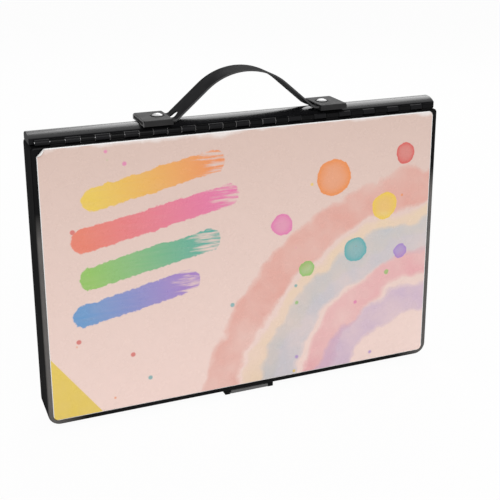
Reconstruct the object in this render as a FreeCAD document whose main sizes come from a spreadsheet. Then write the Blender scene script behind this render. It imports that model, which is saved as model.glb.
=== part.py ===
"""Art supply case: two hinged halves on a spine, with a strap handle, a latch and filled trays.

Frame: +Z up, X along the width, the printed front faces -Y. The origin is the middle of the
underside, level with the latch lugs that the case stands on. Lengths are in millimetres.
"""
import FreeCAD, Part
import Sketcher
import math
import os

Vector = FreeCAD.Vector

# Driving sizes: name, value
SIZES = [
    # Case halves
    ("case_width", 292.0),
    ("case_depth", 29.0),
    ("shell_wall", 1.8),
    ("parting_gap", 0.3),
    ("corner_radius", 8.5),
    ("top_corner_radius", 2.5),
    ("edge_radius", 1.5),
    # Printed card and its recess
    ("card_height", 190.0),
    ("card_rim", 3.2),
    ("card_top_margin", 1.0),
    ("card_thickness", 0.5),
    ("card_recess", 0.7),
    ("card_corner_radius", 4.0),
    ("card_clearance", 0.2),
    # Hinges
    ("hinge_inset", 2.4),
    ("knuckle_radius", 2.0),
    ("knuckle_count", 30),
    ("knuckle_inset", 3.0),
    ("knuckle_gap", 0.4),
    ("knuckle_clearance", 0.3),
    ("hinge_rod_radius", 1.0),
    ("rod_clearance", 0.05),
    ("arm_width", 2.4),
    # Spine
    ("spine_inset", 3.0),
    ("spine_crown", 3.1),
    ("spine_rise", 5.0),
    ("spine_wall", 2.6),
    ("spine_lip", 1.6),
    ("spine_clearance", 0.8),
    # Handle strap, keepers and rivets
    ("strap_width", 21.0),
    ("strap_thickness", 1.2),
    ("strap_clearance", 0.3),
    ("strap_side_clearance", 0.4),
    ("strap_tail", 9.8),
    ("strap_travel", 2.0),
    ("grip_radius", 42.0),
    ("limb_angle", 41.0),
    ("foot_radius", 4.0),
    ("slot_length", 20.0),
    ("slot_width", 6.5),
    ("slot_end", 5.5),
    ("rivet_inset", 3.0),
    ("rivet_radius", 2.0),
    ("rivet_head_radius", 4.0),
    ("rivet_head_height", 1.6),
    ("rivet_clearance", 0.05),
    ("groove_width", 0.8),
    ("groove_depth", 0.4),
    ("keeper_spacing", 126.0),
    ("keeper_length", 20.0),
    ("keeper_width", 27.0),
    ("keeper_base_thickness", 1.0),
    ("keeper_cap_thickness", 1.0),
    ("washer_radius", 4.5),
    ("washer_thickness", 0.8),
    # Latch
    ("latch_drop", 4.0),
    ("latch_width", 37.3),
    ("latch_lug", 4.0),
    ("latch_side_clearance", 0.4),
    ("cheek_front_inset", 2.5),
    ("cheek_depth", 9.5),
    ("ear_inset", 5.0),
    ("ear_depth", 6.0),
    ("clasp_thickness", 2.7),
    ("clasp_floor_gap", 0.4),
    ("clasp_nose_inset", 1.6),
    ("clasp_barrel_radius", 1.6),
    ("clasp_edge_radius", 0.8),
    ("latch_pin_radius", 0.9),
    ("pin_clearance", 0.05),
    # Trays
    ("tray_sheet", 1.0),
    ("tray_clearance", 0.2),
    ("tray_margin", 6.0),
    ("row_margin", 15.0),
    ("tray_deck_level", 3.6),
    ("supply_level", 2.2),
    ("well_clearance", 0.6),
    ("well_gap", 6.0),
    ("seat_gap", 0.05),
    # Felt pens, two columns
    ("pen_rows", 12),
    ("pen_gap", 0.5),
    ("pen_floor_gap", 2.45),
    ("pen_barrel_radius", 4.1),
    ("pen_cap_radius", 4.4),
    ("pen_cap_length", 38.0),
    ("pen_plug_radius", 3.4),
    ("pen_plug_length", 3.0),
    # Oil pastels and crayons
    ("stick_count", 12),
    ("stick_gap", 0.5),
    ("stick_step", 0.8),
    ("pastel_bare_end", 7.0),
    ("crayon_tip", 6.0),
    ("crayon_tip_radius", 1.6),
    ("wrapper_thickness", 0.3),
    ("wrapper_fit", 0.02),
    # Glue stick and sponge
    ("glue_floor_gap", 0.45),
    ("glue_cap_step", 0.4),
    ("glue_cap_length", 14.0),
    ("sponge_width", 26.0),
    ("sponge_floor_gap", 2.25),
    ("sponge_edge_radius", 1.5),
    # Pencils
    ("pencil_count", 13),
    ("pencil_gap", 0.4),
    ("pencil_cone", 16.0),
    ("pencil_lead", 4.0),
    ("pencil_lead_radius", 1.1),
    ("pencil_point_radius", 0.3),
    # Palette and paint cakes
    ("palette_columns", 3),
    ("palette_rows", 4),
    ("palette_edge", 2.0),
    ("palette_depth", 7.0),
    ("cake_rim", 2.8),
    ("cake_clearance", 0.1),
    ("cake_depth", 4.0),
    ("cake_floor", 1.6),
    # Brush, ruler
    ("brush_handle_radius", 3.2),
    ("brush_ferrule_length", 18.0),
    ("brush_ferrule_radius", 2.7),
    ("brush_tail_radius", 1.5),
    ("brush_hair_length", 16.0),
    ("brush_hair_radius", 2.4),
    ("brush_tip_radius", 0.5),
    ("ruler_width", 20.0),
    ("ruler_thickness", 2.2),
    ("ruler_bevel", 1.4),
    # Scissors
    ("scissors_length", 110.0),
    ("scissors_width", 40.0),
    ("blade_length", 58.0),
    ("blade_width", 8.0),
    ("blade_nose", 2.4),
    ("blade_point", 12.0),
    ("blade_thickness", 1.2),
    ("blade_gap", 0.1),
    ("loop_radius", 7.2),
    ("loop_thickness", 2.4),
    ("loop_pitch", 20.2),
    ("shank_width", 5.0),
    ("scissor_pivot_radius", 2.4),
    ("scissor_pivot_clearance", 0.05),
    # Eraser, sharpener, clips
    ("eraser_length", 38.0),
    ("eraser_width", 17.0),
    ("eraser_floor_gap", 2.95),
    ("sleeve_length", 22.0),
    ("sleeve_thickness", 0.4),
    ("sharpener_length", 25.0),
    ("sharpener_width", 15.0),
    ("sharpener_floor_gap", 1.45),
    ("sharpener_wall", 0.7),
    ("sharpener_blade_thickness", 0.8),
    ("sharpener_blade_inset", 1.5),
    ("sharpener_screw_radius", 2.2),
    ("sharpener_screw_height", 0.7),
    ("clip_count", 5),
    ("clip_gap", 4.0),
    ("clip_width", 15.0),
    ("clip_jaw_thickness", 3.2),
    ("clip_spring_radius", 0.8),
]


class Size:
    """A length that keeps its number together with the sheet formula that it comes from."""

    def __init__(self, number, text):
        self.number = number
        self.text = text

    def __add__(self, other):
        other = size_of(other)
        return Size(self.number + other.number, f"({self.text} + {other.text})")

    def __sub__(self, other):
        other = size_of(other)
        return Size(self.number - other.number, f"({self.text} - {other.text})")

    def __mul__(self, other):
        other = size_of(other)
        return Size(self.number * other.number, f"({self.text} * {other.text})")

    def __truediv__(self, other):
        other = size_of(other)
        return Size(self.number / other.number, f"({self.text} / {other.text})")

    def __radd__(self, other):
        return size_of(other) + self

    def __rsub__(self, other):
        return size_of(other) - self

    def __rmul__(self, other):
        return size_of(other) * self

    def __neg__(self):
        return 0 - self


def size_of(value):
    if isinstance(value, Size):
        return value
    return Size(float(value), repr(float(value)))


def sine(angle):
    return Size(math.sin(math.radians(angle.number)), f"sin({angle.text})")


def cosine(angle):
    return Size(math.cos(math.radians(angle.number)), f"cos({angle.text})")


def tangent(angle):
    return Size(math.tan(math.radians(angle.number)), f"tan({angle.text})")


def arcsine(ratio):
    return Size(math.degrees(math.asin(ratio.number)), f"asin({ratio.text})")


def root(area):
    return Size(math.sqrt(area.number), f"sqrt({area.text})")


class Sheet:
    """The spreadsheet of driving sizes, read as attributes."""

    def __init__(self, document, sizes):
        self.cells = document.addObject("Spreadsheet::Sheet", "Dims")
        for row, (name, value) in enumerate(sizes, start=1):
            self.cells.set(f"A{row}", name)
            self.cells.set(f"B{row}", str(value))
            self.cells.setAlias(f"B{row}", name)
            setattr(self, name, Size(float(value), f"Dims.{name}"))


doc = FreeCAD.newDocument("art_supply_case")
size = Sheet(doc, SIZES)
doc.recompute()

nodes = {}


def keep(item, label):
    """Name a finished sub-part: its label is also its file name."""
    item.Label = label
    nodes[label] = item
    return item


def bind(item, **formulas):
    for prop, value in formulas.items():
        item.setExpression(prop, size_of(value).text)


def locate(item, x, y, z):
    for axis, value in zip("xyz", (x, y, z)):
        item.setExpression(f"Placement.Base.{axis}", size_of(value).text)


# Turns that lay a primitive's own axis along X, Y or Z
ALONG = {
    "x": FreeCAD.Rotation(Vector(0, 1, 0), 90),
    "-x": FreeCAD.Rotation(Vector(0, 1, 0), -90),
    "y": FreeCAD.Rotation(Vector(1, 0, 0), -90),
    "-y": FreeCAD.Rotation(Vector(1, 0, 0), 90),
    "z": FreeCAD.Rotation(),
}


def box(name, x, y, z):
    """A block between two limits on each axis."""
    item = doc.addObject("Part::Box", name)
    bind(item, Length=x[1] - x[0], Width=y[1] - y[0], Height=z[1] - z[0])
    locate(item, x[0], y[0], z[0])
    return item


def rod(name, along, start, radius, length):
    """A cylinder from its start point along an axis."""
    item = doc.addObject("Part::Cylinder", name)
    item.Placement.Rotation = ALONG[along]
    bind(item, Radius=radius, Height=length)
    locate(item, *start)
    return item


def taper(name, along, start, radius, end_radius, length):
    """A cone from its start point along an axis."""
    item = doc.addObject("Part::Cone", name)
    item.Placement.Rotation = ALONG[along]
    bind(item, Radius1=radius, Radius2=end_radius, Height=length)
    locate(item, *start)
    return item


def fuse(name, items):
    if len(items) == 1:
        return items[0]
    item = doc.addObject("Part::MultiFuse", name)
    item.Shapes = items
    return item


def cut(name, base, tools):
    item = doc.addObject("Part::Cut", name)
    item.Base = base
    item.Tool = fuse(name + "_tools", tools)
    return item


def group(name, items):
    item = doc.addObject("Part::Compound", name)
    item.Links = items
    return item


def tube(name, along, start, bore, radius, length):
    outer = rod(name + "_outer", along, start, radius, length)
    inner = rod(name + "_bore", along, start, bore, length)
    return cut(name, outer, [inner])


def new_body(name):
    return doc.addObject("PartDesign::Body", name)


def plane_of(body, role):
    return next(item for item in body.Origin.OriginFeatures if item.Role == role)


def arc_through(start, end, radius, side):
    """The arc under a half circle with this radius, its centre on the left or right of the run."""
    chord = end - start
    middle = (start + end) * 0.5
    left = Vector(-chord.y, chord.x, 0).normalize()
    height = math.sqrt(max(radius * radius - chord.Length * chord.Length / 4, 0.0))
    turn = 1 if side == "left" else -1
    centre = middle + left * height * turn
    crown = centre + (middle - centre).normalize() * radius
    if height < 1e-9:
        crown = middle - left * radius * turn
    return Part.Arc(start, crown, end)


def outline(body, name, role, offset, path):
    """A closed sketch through points (x, y, bend). A bend is None for a straight run to the next
    point, or (side, radius) for an arc. Every point and radius is bound to its formula."""
    sketch = body.newObject("Sketcher::SketchObject", name)
    sketch.AttachmentSupport = (plane_of(body, role), [""])
    sketch.MapMode = "FlatFace"
    sketch.setExpression("AttachmentOffset.Base.z", size_of(offset).text)
    spots = [Vector(size_of(x).number, size_of(y).number, 0) for x, y, bend in path]
    ends = []
    for index, (x, y, bend) in enumerate(path):
        start = spots[index]
        end = spots[(index + 1) % len(path)]
        if bend is None:
            sketch.addGeometry(Part.LineSegment(start, end))
            ends.append((1, 2))
        else:
            sketch.addGeometry(arc_through(start, end, bend[1].number, bend[0]))
            ends.append((1, 2) if bend[0] == "left" else (2, 1))
    for index in range(len(path)):
        after = (index + 1) % len(path)
        sketch.addConstraint(Sketcher.Constraint("Coincident", index, ends[index][1], after, ends[after][0]))
    for index, (x, y, bend) in enumerate(path):
        first = ends[index][0]
        for kind, value in (("DistanceX", size_of(x)), ("DistanceY", size_of(y))):
            number = sketch.addConstraint(Sketcher.Constraint(kind, -1, 1, index, first, value.number))
            sketch.setExpression(f"Constraints[{number}]", value.text)
        if bend is not None:
            number = sketch.addConstraint(Sketcher.Constraint("Radius", index, bend[1].number))
            sketch.setExpression(f"Constraints[{number}]", bend[1].text)
    return sketch


def rounded(left, right, low, high, low_radius, high_radius):
    """The path of a rectangle with rounded corners."""
    return [
        (left + low_radius, low, None),
        (right - low_radius, low, ("left", low_radius)),
        (right, low + low_radius, None),
        (right, high - high_radius, ("left", high_radius)),
        (right - high_radius, high, None),
        (left + high_radius, high, ("left", high_radius)),
        (left, high - high_radius, None),
        (left, low + low_radius, ("left", low_radius)),
    ]


def pad(body, name, sketch, length, reverse=False, midplane=False):
    feature = body.newObject("PartDesign::Pad", name)
    feature.Profile = sketch
    feature.Reversed = reverse
    if midplane:
        feature.SideType = "Symmetric"
    bind(feature, Length=length)
    doc.recompute()
    return feature


def pocket(body, name, sketch, length, reverse=False, midplane=False):
    before = body.Shape.Volume
    feature = body.newObject("PartDesign::Pocket", name)
    feature.Profile = sketch
    feature.Reversed = reverse
    if midplane:
        feature.SideType = "Symmetric"
    bind(feature, Length=length)
    doc.recompute()
    if body.Shape.Volume >= before:
        raise RuntimeError(f"{name} cuts nothing")
    return feature


def round_edges(body, name, radius, wanted):
    """Fillet the edges of the body that a test picks."""
    base = body.Tip
    picked = [f"Edge{i}" for i, edge in enumerate(base.Shape.Edges, start=1) if wanted(edge)]
    feature = body.newObject("PartDesign::Fillet", name)
    feature.Base = (base, picked)
    bind(feature, Radius=radius)
    doc.recompute()
    return feature


def lies_at(edge, axis, level):
    """Whether all of an edge is at one level of an axis."""
    box_of = edge.BoundBox
    low = getattr(box_of, axis + "Min")
    high = getattr(box_of, axis + "Max")
    return abs(low - level) < 1e-4 and abs(high - level) < 1e-4


# Levels that several pieces share
half_width = size.case_width / 2
half_depth = size.case_depth / 2
half_gap = size.parting_gap / 2
shell_low = size.latch_drop
card_low = shell_low + size.card_rim
card_high = card_low + size.card_height
shell_top = card_high + size.card_top_margin
hinge_y = half_depth - size.hinge_inset
hinge_z = shell_top + size.knuckle_clearance + size.knuckle_radius
hinge_length = size.case_width - 2 * size.knuckle_inset
knuckle_pitch = hinge_length / size.knuckle_count
front_panel = half_depth - size.card_recess - size.shell_wall
rear_panel = half_depth - size.shell_wall
spine_half_depth = hinge_y - size.spine_inset
FRONT = -1
REAR = 1


def across(side, near, far):
    """Limits along Y between two distances from the parting plane, on one side of it."""
    near = size_of(near)
    far = size_of(far)
    return (-far, -near) if side == FRONT else (near, far)


def knuckle_span(index):
    """Limits along X of one knuckle of the hinge row."""
    start = index * knuckle_pitch - hinge_length / 2
    return (start + size.knuckle_gap / 2, start + knuckle_pitch - size.knuckle_gap / 2)


def knuckle(name, side, index):
    low, high = knuckle_span(index)
    start = (low, side * hinge_y, hinge_z)
    return rod(f"{name}_knuckle_{index}", "x", start, size.knuckle_radius, high - low)


def hinge_bore(name, side):
    start = (-hinge_length / 2, side * hinge_y, hinge_z)
    return rod(name, "x", start, size.hinge_rod_radius + size.rod_clearance, hinge_length)


SPINE_KNUCKLES = range(0, int(size.knuckle_count.number), 2)
SHELL_KNUCKLES = range(1, int(size.knuckle_count.number), 2)


def shell(name, side, panel):
    """One half of the case: a shallow rounded tray with hinge knuckles along its top edge."""
    body = new_body(name + "_moulding")
    rear = side == REAR
    offset = -side * half_gap
    outer = rounded(-half_width, half_width, shell_low, shell_top, size.corner_radius, size.top_corner_radius)
    inner = rounded(
        size.shell_wall - half_width,
        half_width - size.shell_wall,
        shell_low + size.shell_wall,
        shell_top - size.shell_wall,
        size.corner_radius - size.shell_wall,
        size.top_corner_radius - size.shell_wall,
    )
    pad(body, name + "_block", outline(body, name + "_outline", "XZ_Plane", offset, outer),
        half_depth - half_gap, reverse=rear)
    face_level = side * half_depth.number
    round_edges(body, name + "_edge", size.edge_radius, lambda edge: lies_at(edge, "Y", face_level))
    pocket(body, name + "_hollow", outline(body, name + "_inside", "XZ_Plane", offset, inner),
           panel - half_gap, reverse=not rear)
    if not rear:
        recess = rounded(
            size.card_rim - half_width,
            half_width - size.card_rim,
            card_low,
            card_high,
            size.card_corner_radius,
            size.card_corner_radius,
        )
        pocket(body, name + "_recess", outline(body, name + "_card_seat", "XZ_Plane", half_depth, recess),
               size.card_recess)
    pieces = [body]
    arm_y = (side * hinge_y - size.arm_width / 2, side * hinge_y + size.arm_width / 2)
    for index in SHELL_KNUCKLES:
        pieces.append(knuckle(name, side, index))
        arm_z = (shell_top - size.shell_wall / 2, hinge_z)
        pieces.append(box(f"{name}_arm_{index}", knuckle_span(index), arm_y, arm_z))
    return pieces


# Front and rear halves with their latch lugs
lug_outer = size.latch_width / 2
lug_inner = lug_outer - size.latch_lug
lug_z = (size_of(0), shell_low + size.shell_wall / 2)
latch_pin_y = size.ear_inset + size.ear_depth / 2
latch_pin_z = size.clasp_floor_gap + size.clasp_barrel_radius


def lugs(name, y_limits):
    left = box(name + "_left", (-lug_outer, -lug_inner), y_limits, lug_z)
    right = box(name + "_right", (lug_inner, lug_outer), y_limits, lug_z)
    return [left, right]


def front_shell():
    pieces = shell("front", FRONT, front_panel)
    cheek_y = (size.cheek_front_inset - half_depth, size.cheek_front_inset + size.cheek_depth - half_depth)
    pieces += lugs("cheek", cheek_y)
    half = cut("front_half", fuse("front_whole", pieces), [hinge_bore("front_bore", FRONT)])
    keep(half, "front_shell")


def rear_shell():
    pieces = shell("rear", REAR, rear_panel)
    ear_y = (latch_pin_y - size.ear_depth / 2, latch_pin_y + size.ear_depth / 2)
    pieces += lugs("ear", ear_y)
    pin_hole = rod("ear_hole", "x", (-lug_outer, latch_pin_y, latch_pin_z),
                   size.latch_pin_radius + size.pin_clearance, size.latch_width)
    half = cut("rear_half", fuse("rear_whole", pieces), [hinge_bore("rear_bore", REAR), pin_hole])
    keep(half, "rear_shell")


# Spine: a crowned channel closed at both ends, with its own knuckles on both edges
spine_edge_z = hinge_z + size.spine_rise - size.spine_crown
spine_top = hinge_z + size.spine_rise
spine_low = shell_top + size.spine_clearance
seat_z = spine_top - size.keeper_base_thickness
keeper_x = size.keeper_spacing / 2
rivet_x = keeper_x - size.rivet_inset


def crown_radius(half_span, crown):
    return (half_span * half_span + crown * crown) / (2 * crown)


def spine():
    body = new_body("spine_channel")
    outer_radius = crown_radius(spine_half_depth, size.spine_crown)
    outer = [
        (-spine_half_depth, spine_low, None),
        (spine_half_depth, spine_low, None),
        (spine_half_depth, spine_edge_z, ("left", outer_radius)),
        (-spine_half_depth, spine_edge_z, None),
    ]
    section = outline(body, "spine_section", "YZ_Plane", 0, outer)
    pad(body, "spine_bar", section, size.case_width, midplane=True)
    inner_half = spine_half_depth - size.spine_lip
    inner_radius = outer_radius - size.spine_wall
    centre_z = spine_top - outer_radius
    inner_edge_z = centre_z + root(inner_radius * inner_radius - inner_half * inner_half)
    inner = [
        (-inner_half, spine_low, None),
        (inner_half, spine_low, None),
        (inner_half, inner_edge_z, ("left", inner_radius)),
        (-inner_half, inner_edge_z, None),
    ]
    pocket(body, "spine_hollow", outline(body, "spine_inside", "YZ_Plane", 0, inner),
           size.case_width - 2 * size.shell_wall, midplane=True)
    pieces = [body]
    web_reach = hinge_y - spine_half_depth + size.spine_lip
    web_half = size.knuckle_radius / 2
    for side, edge in ((FRONT, "front"), (REAR, "back")):
        for index in SPINE_KNUCKLES:
            pieces.append(knuckle(f"spine_{edge}", side, index))
            web_y = across(side, hinge_y - web_reach, hinge_y)
            web_z = (hinge_z - web_half, hinge_z + web_half)
            pieces.append(box(f"spine_{edge}_web_{index}", knuckle_span(index), web_y, web_z))
    tools = [hinge_bore("spine_front_bore", FRONT), hinge_bore("spine_back_bore", REAR)]
    for side, hand in ((-1, "left"), (1, "right")):
        middle = side * keeper_x
        seat_x = (middle - size.keeper_length / 2, middle + size.keeper_length / 2)
        seat_y = (-spine_half_depth, spine_half_depth)
        tools.append(box(f"{hand}_seat", seat_x, seat_y, (seat_z, spine_top + size.spine_crown)))
        hole_radius = size.rivet_radius + size.rivet_clearance
        hole_start = (side * rivet_x, 0, spine_low)
        tools.append(rod(f"{hand}_rivet_hole", "z", hole_start, hole_radius, spine_top - spine_low))
    keep(cut("spine_whole", fuse("spine_joined", pieces), tools), "spine")


def hinge_rods():
    for side, name in ((FRONT, "front_hinge_rod"), (REAR, "rear_hinge_rod")):
        start = (-hinge_length / 2, side * hinge_y, hinge_z)
        keep(rod(name + "_wire", "x", start, size.hinge_rod_radius, hinge_length), name)


def front_card():
    body = new_body("card_sheet")
    slack = size.card_rim + size.card_clearance
    path = rounded(
        slack - half_width,
        half_width - slack,
        card_low + size.card_clearance,
        card_high - size.card_clearance,
        size.card_corner_radius,
        size.card_corner_radius,
    )
    seat = half_depth - size.card_recess
    pad(body, "card_board", outline(body, "card_outline", "XZ_Plane", seat, path), size.card_thickness)
    keep(body, "front_card")


# Handle: a strap arched between two keepers, its slots round the rivet shanks
strap_low = spine_top + size.strap_clearance
strap_high = strap_low + size.strap_thickness
cap_low = strap_high + size.strap_clearance
cap_high = cap_low + size.keeper_cap_thickness


def handle_strap():
    body = new_body("strap_arch")
    half_turn = size.limb_angle / 2
    foot_run = size.foot_radius * tangent(half_turn)
    corner_x = keeper_x - size.keeper_length / 2 - size.strap_travel - foot_run
    strap_end = keeper_x + size.strap_tail
    sin_limb = sine(size.limb_angle)
    cos_limb = cosine(size.limb_angle)
    grip_x = size.grip_radius * sin_limb
    grip_z = strap_low + (corner_x - grip_x) * tangent(size.limb_angle)
    grip_outer = size.grip_radius + size.strap_thickness
    shift_x = size.strap_thickness * sin_limb
    shift_z = size.strap_thickness * cos_limb
    foot_top_x = corner_x - foot_run * cos_limb
    foot_top_z = strap_low + foot_run * sin_limb
    foot_inner = size.foot_radius - size.strap_thickness
    flat_x = corner_x + foot_run
    path = [
        (-strap_end, strap_low, None),
        (-flat_x, strap_low, ("left", size.foot_radius)),
        (-foot_top_x, foot_top_z, None),
        (-grip_x, grip_z, ("right", size.grip_radius)),
        (grip_x, grip_z, None),
        (foot_top_x, foot_top_z, ("left", size.foot_radius)),
        (flat_x, strap_low, None),
        (strap_end, strap_low, None),
        (strap_end, strap_high, None),
        (flat_x, strap_high, ("right", foot_inner)),
        (foot_top_x + shift_x, foot_top_z + shift_z, None),
        (grip_x + shift_x, grip_z + shift_z, ("left", grip_outer)),
        (-grip_x - shift_x, grip_z + shift_z, None),
        (-foot_top_x - shift_x, foot_top_z + shift_z, ("right", foot_inner)),
        (-flat_x, strap_high, None),
        (-strap_end, strap_high, None),
    ]
    profile = outline(body, "strap_profile", "XZ_Plane", 0, path)
    pad(body, "strap_band", profile, size.strap_width, midplane=True)
    tools = []
    slot_half = size.slot_width / 2
    slot_run = size.slot_length - size.slot_width
    slot_z = (strap_low - size.strap_thickness, foot_top_z + size.foot_radius)
    for side, hand in ((-1, "left"), (1, "right")):
        outer = side * (rivet_x + size.slot_end - slot_half)
        inner = side * (rivet_x + size.slot_end - slot_half - slot_run)
        limits = (outer, inner) if side < 0 else (inner, outer)
        tools.append(box(f"{hand}_slot", limits, (-slot_half, slot_half), slot_z))
        for spot, end in ((outer, "outer"), (inner, "inner")):
            start = (spot, 0, slot_z[0])
            tools.append(rod(f"{hand}_slot_{end}", "z", start, slot_half, slot_z[1] - slot_z[0]))
    keep(cut("strap_slotted", body, tools), "handle_strap")


def keepers():
    """Each keeper is a base with side rails that the strap runs between, and a cap over them."""
    rail_in = size.strap_width / 2 + size.strap_side_clearance
    half = size.keeper_width / 2
    for side, hand in ((-1, "left"), (1, "right")):
        middle = side * keeper_x
        rivet_spot = side * rivet_x
        x = (middle - size.keeper_length / 2, middle + size.keeper_length / 2)
        plate = box(f"{hand}_base_plate", x, (-half, half), (seat_z, spine_top))
        rails = [
            box(f"{hand}_front_rail", x, (-half, -rail_in), (seat_z, cap_low)),
            box(f"{hand}_back_rail", x, (rail_in, half), (seat_z, cap_low)),
        ]
        bore = size.rivet_radius + size.rivet_clearance
        hole = rod(f"{hand}_base_hole", "z", (rivet_spot, 0, seat_z), bore, size.keeper_base_thickness)
        base = cut(f"{hand}_base", fuse(f"{hand}_base_joined", [plate] + rails), [hole])
        keep(base, f"{hand}_keeper_base")
        body = new_body(f"{hand}_cap")
        path = rounded(x[0], x[1], -half, half, size.edge_radius, size.edge_radius)
        pad(body, f"{hand}_cap_plate", outline(body, f"{hand}_cap_outline", "XY_Plane", cap_low, path),
            size.keeper_cap_thickness)
        top = cap_high.number
        edge_radius = size.keeper_cap_thickness / 2
        round_edges(body, f"{hand}_cap_edge", edge_radius, lambda edge: lies_at(edge, "Z", top))
        cap_hole = rod(f"{hand}_cap_hole", "z", (rivet_spot, 0, cap_low), bore, size.keeper_cap_thickness)
        groove_start = (rivet_spot, 0, cap_high - size.groove_depth)
        groove_radius = size.rivet_head_radius + size.groove_width
        groove = tube(f"{hand}_cap_groove", "z", groove_start, size.rivet_head_radius, groove_radius,
                      size.groove_depth)
        keep(cut(f"{hand}_cap_bored", body, [cap_hole, groove]), f"{hand}_keeper_cap")


def rivets():
    """Domed rivets through the keepers, each closed on a washer under the spine."""
    heads = []
    washers = []
    reach = size.washer_radius
    inner_radius = crown_radius(spine_half_depth, size.spine_crown) - size.spine_wall
    ceiling = spine_top - size.spine_wall - inner_radius + root(inner_radius * inner_radius - reach * reach)
    washer_low = ceiling - size.washer_thickness
    dome_radius = crown_radius(size.rivet_head_radius, size.rivet_head_height)
    dome_base = dome_radius - size.rivet_head_height
    for side, hand in ((-1, "left"), (1, "right")):
        middle = side * rivet_x
        shank = rod(f"{hand}_shank", "z", (middle, 0, washer_low), size.rivet_radius, cap_high - washer_low)
        dome = doc.addObject("Part::Sphere", f"{hand}_dome")
        bind(dome, Radius=dome_radius, Angle1=arcsine(dome_base / dome_radius))
        locate(dome, middle, 0, cap_high - dome_base)
        heads.append(fuse(f"{hand}_rivet", [shank, dome]))
        bore = size.rivet_radius + size.rivet_clearance
        start = (middle, 0, washer_low)
        washers.append(tube(f"{hand}_washer", "z", start, bore, size.washer_radius, size.washer_thickness))
    keep(group("rivet_pair", heads), "rivets")
    keep(group("washer_pair", washers), "rivet_washers")


def latch():
    """The clasp turns on a pin between the rear lugs and closes up under the front half."""
    body = new_body("clasp_plate")
    low = size.clasp_floor_gap
    high = low + size.clasp_thickness
    nose = size.clasp_nose_inset - half_depth
    path = rounded(nose, latch_pin_y, low, high, size.clasp_edge_radius, size.clasp_edge_radius)
    clasp_width = 2 * lug_inner - 2 * size.latch_side_clearance
    pad(body, "clasp_bar", outline(body, "clasp_section", "YZ_Plane", 0, path), clasp_width, midplane=True)
    start = (-clasp_width / 2, latch_pin_y, latch_pin_z)
    barrel = rod("clasp_barrel", "x", start, size.clasp_barrel_radius, clasp_width)
    bore = rod("clasp_bore", "x", start, size.latch_pin_radius + size.pin_clearance, clasp_width)
    keep(cut("clasp_bored", fuse("clasp_joined", [body, barrel]), [bore]), "latch_clasp")
    pin_start = (-lug_outer, latch_pin_y, latch_pin_z)
    keep(rod("latch_pin_wire", "x", pin_start, size.latch_pin_radius, size.latch_width), "latch_pin")


# Trays: a deck with one well for each kind of supply, its floor as deep as the supply needs
tray_low = shell_low + size.shell_wall + size.tray_clearance
tray_high = shell_top - size.shell_wall - size.tray_clearance
tray_half = half_width - size.shell_wall - size.tray_clearance
upper_z = tray_high - size.tray_margin
lower_z = tray_low + size.tray_margin

# Room for the supplies: rows across a tray, and the depth from the supply level to a well's floor
slack = 2 * size.well_clearance
row_width = 2 * (tray_half - size.row_margin)
under_supply = size.supply_level + size.tray_sheet + size.seat_gap
front_room = front_panel - under_supply
rear_room = rear_panel - under_supply

# Front tray: two columns of pens, and under them a row of sticks as long as the height leaves
pen_depth = front_room - size.pen_floor_gap
pen_pitch = 2 * size.pen_cap_radius + size.pen_gap
pen_length = (row_width - size.well_gap) / 2 - slack
pen_barrel_length = pen_length - size.pen_plug_length - size.pen_cap_length
pens_low = upper_z - size.pen_rows * pen_pitch - slack
stick_length = pens_low - size.well_gap - lower_z - slack
glue_cap_radius = (front_room - size.glue_floor_gap) / 2
glue_tube_radius = glue_cap_radius - size.glue_cap_step
glue_tube_length = stick_length - size.glue_cap_length
sponge_depth = front_room - size.sponge_floor_gap
stick_room = row_width - 3 * size.well_gap - 4 * slack - 2 * glue_cap_radius - size.sponge_width
stick_pitch = stick_room / (2 * size.stick_count)
pastel_pitch = stick_pitch + size.stick_step / 2
crayon_pitch = stick_pitch - size.stick_step / 2
wrap = size.wrapper_fit + size.wrapper_thickness
pastel_radius = (pastel_pitch - size.stick_gap) / 2 - wrap
crayon_radius = (crayon_pitch - size.stick_gap) / 2 - wrap

# Rear tray: the pencils and the palette share the height that the two lower rows leave
lower_rows = size.ruler_width + size.scissors_width + 2 * slack + 2 * size.well_gap
palette_up = upper_z - lower_z - lower_rows - slack
pencil_pitch = palette_up / size.pencil_count
pencil_radius = (pencil_pitch - size.pencil_gap) / 2
cake_pitch = (palette_up - 2 * size.palette_edge) / size.palette_rows
cake_radius = cake_pitch / 2 - size.cake_rim
palette_across = size.palette_columns * cake_pitch + 2 * size.palette_edge
pencil_length = row_width - size.well_gap - 2 * slack - palette_across
ruler_length = row_width - 2 * size.well_gap - 3 * slack - size.eraser_length - size.sharpener_length
eraser_depth = rear_room - size.eraser_floor_gap
sharpener_metal = size.sharpener_blade_thickness + size.sharpener_screw_height
sharpener_depth = rear_room - sharpener_metal - size.sharpener_floor_gap
sharpener_bore_radius = sharpener_depth / 2 - size.sharpener_wall
brush_length = row_width - size.well_gap - 2 * slack - size.scissors_length
brush_handle_length = brush_length - size.brush_ferrule_length - size.brush_hair_length
clip_pitch = (brush_length + size.clip_gap) / size.clip_count
clip_length = clip_pitch - size.clip_gap


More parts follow.
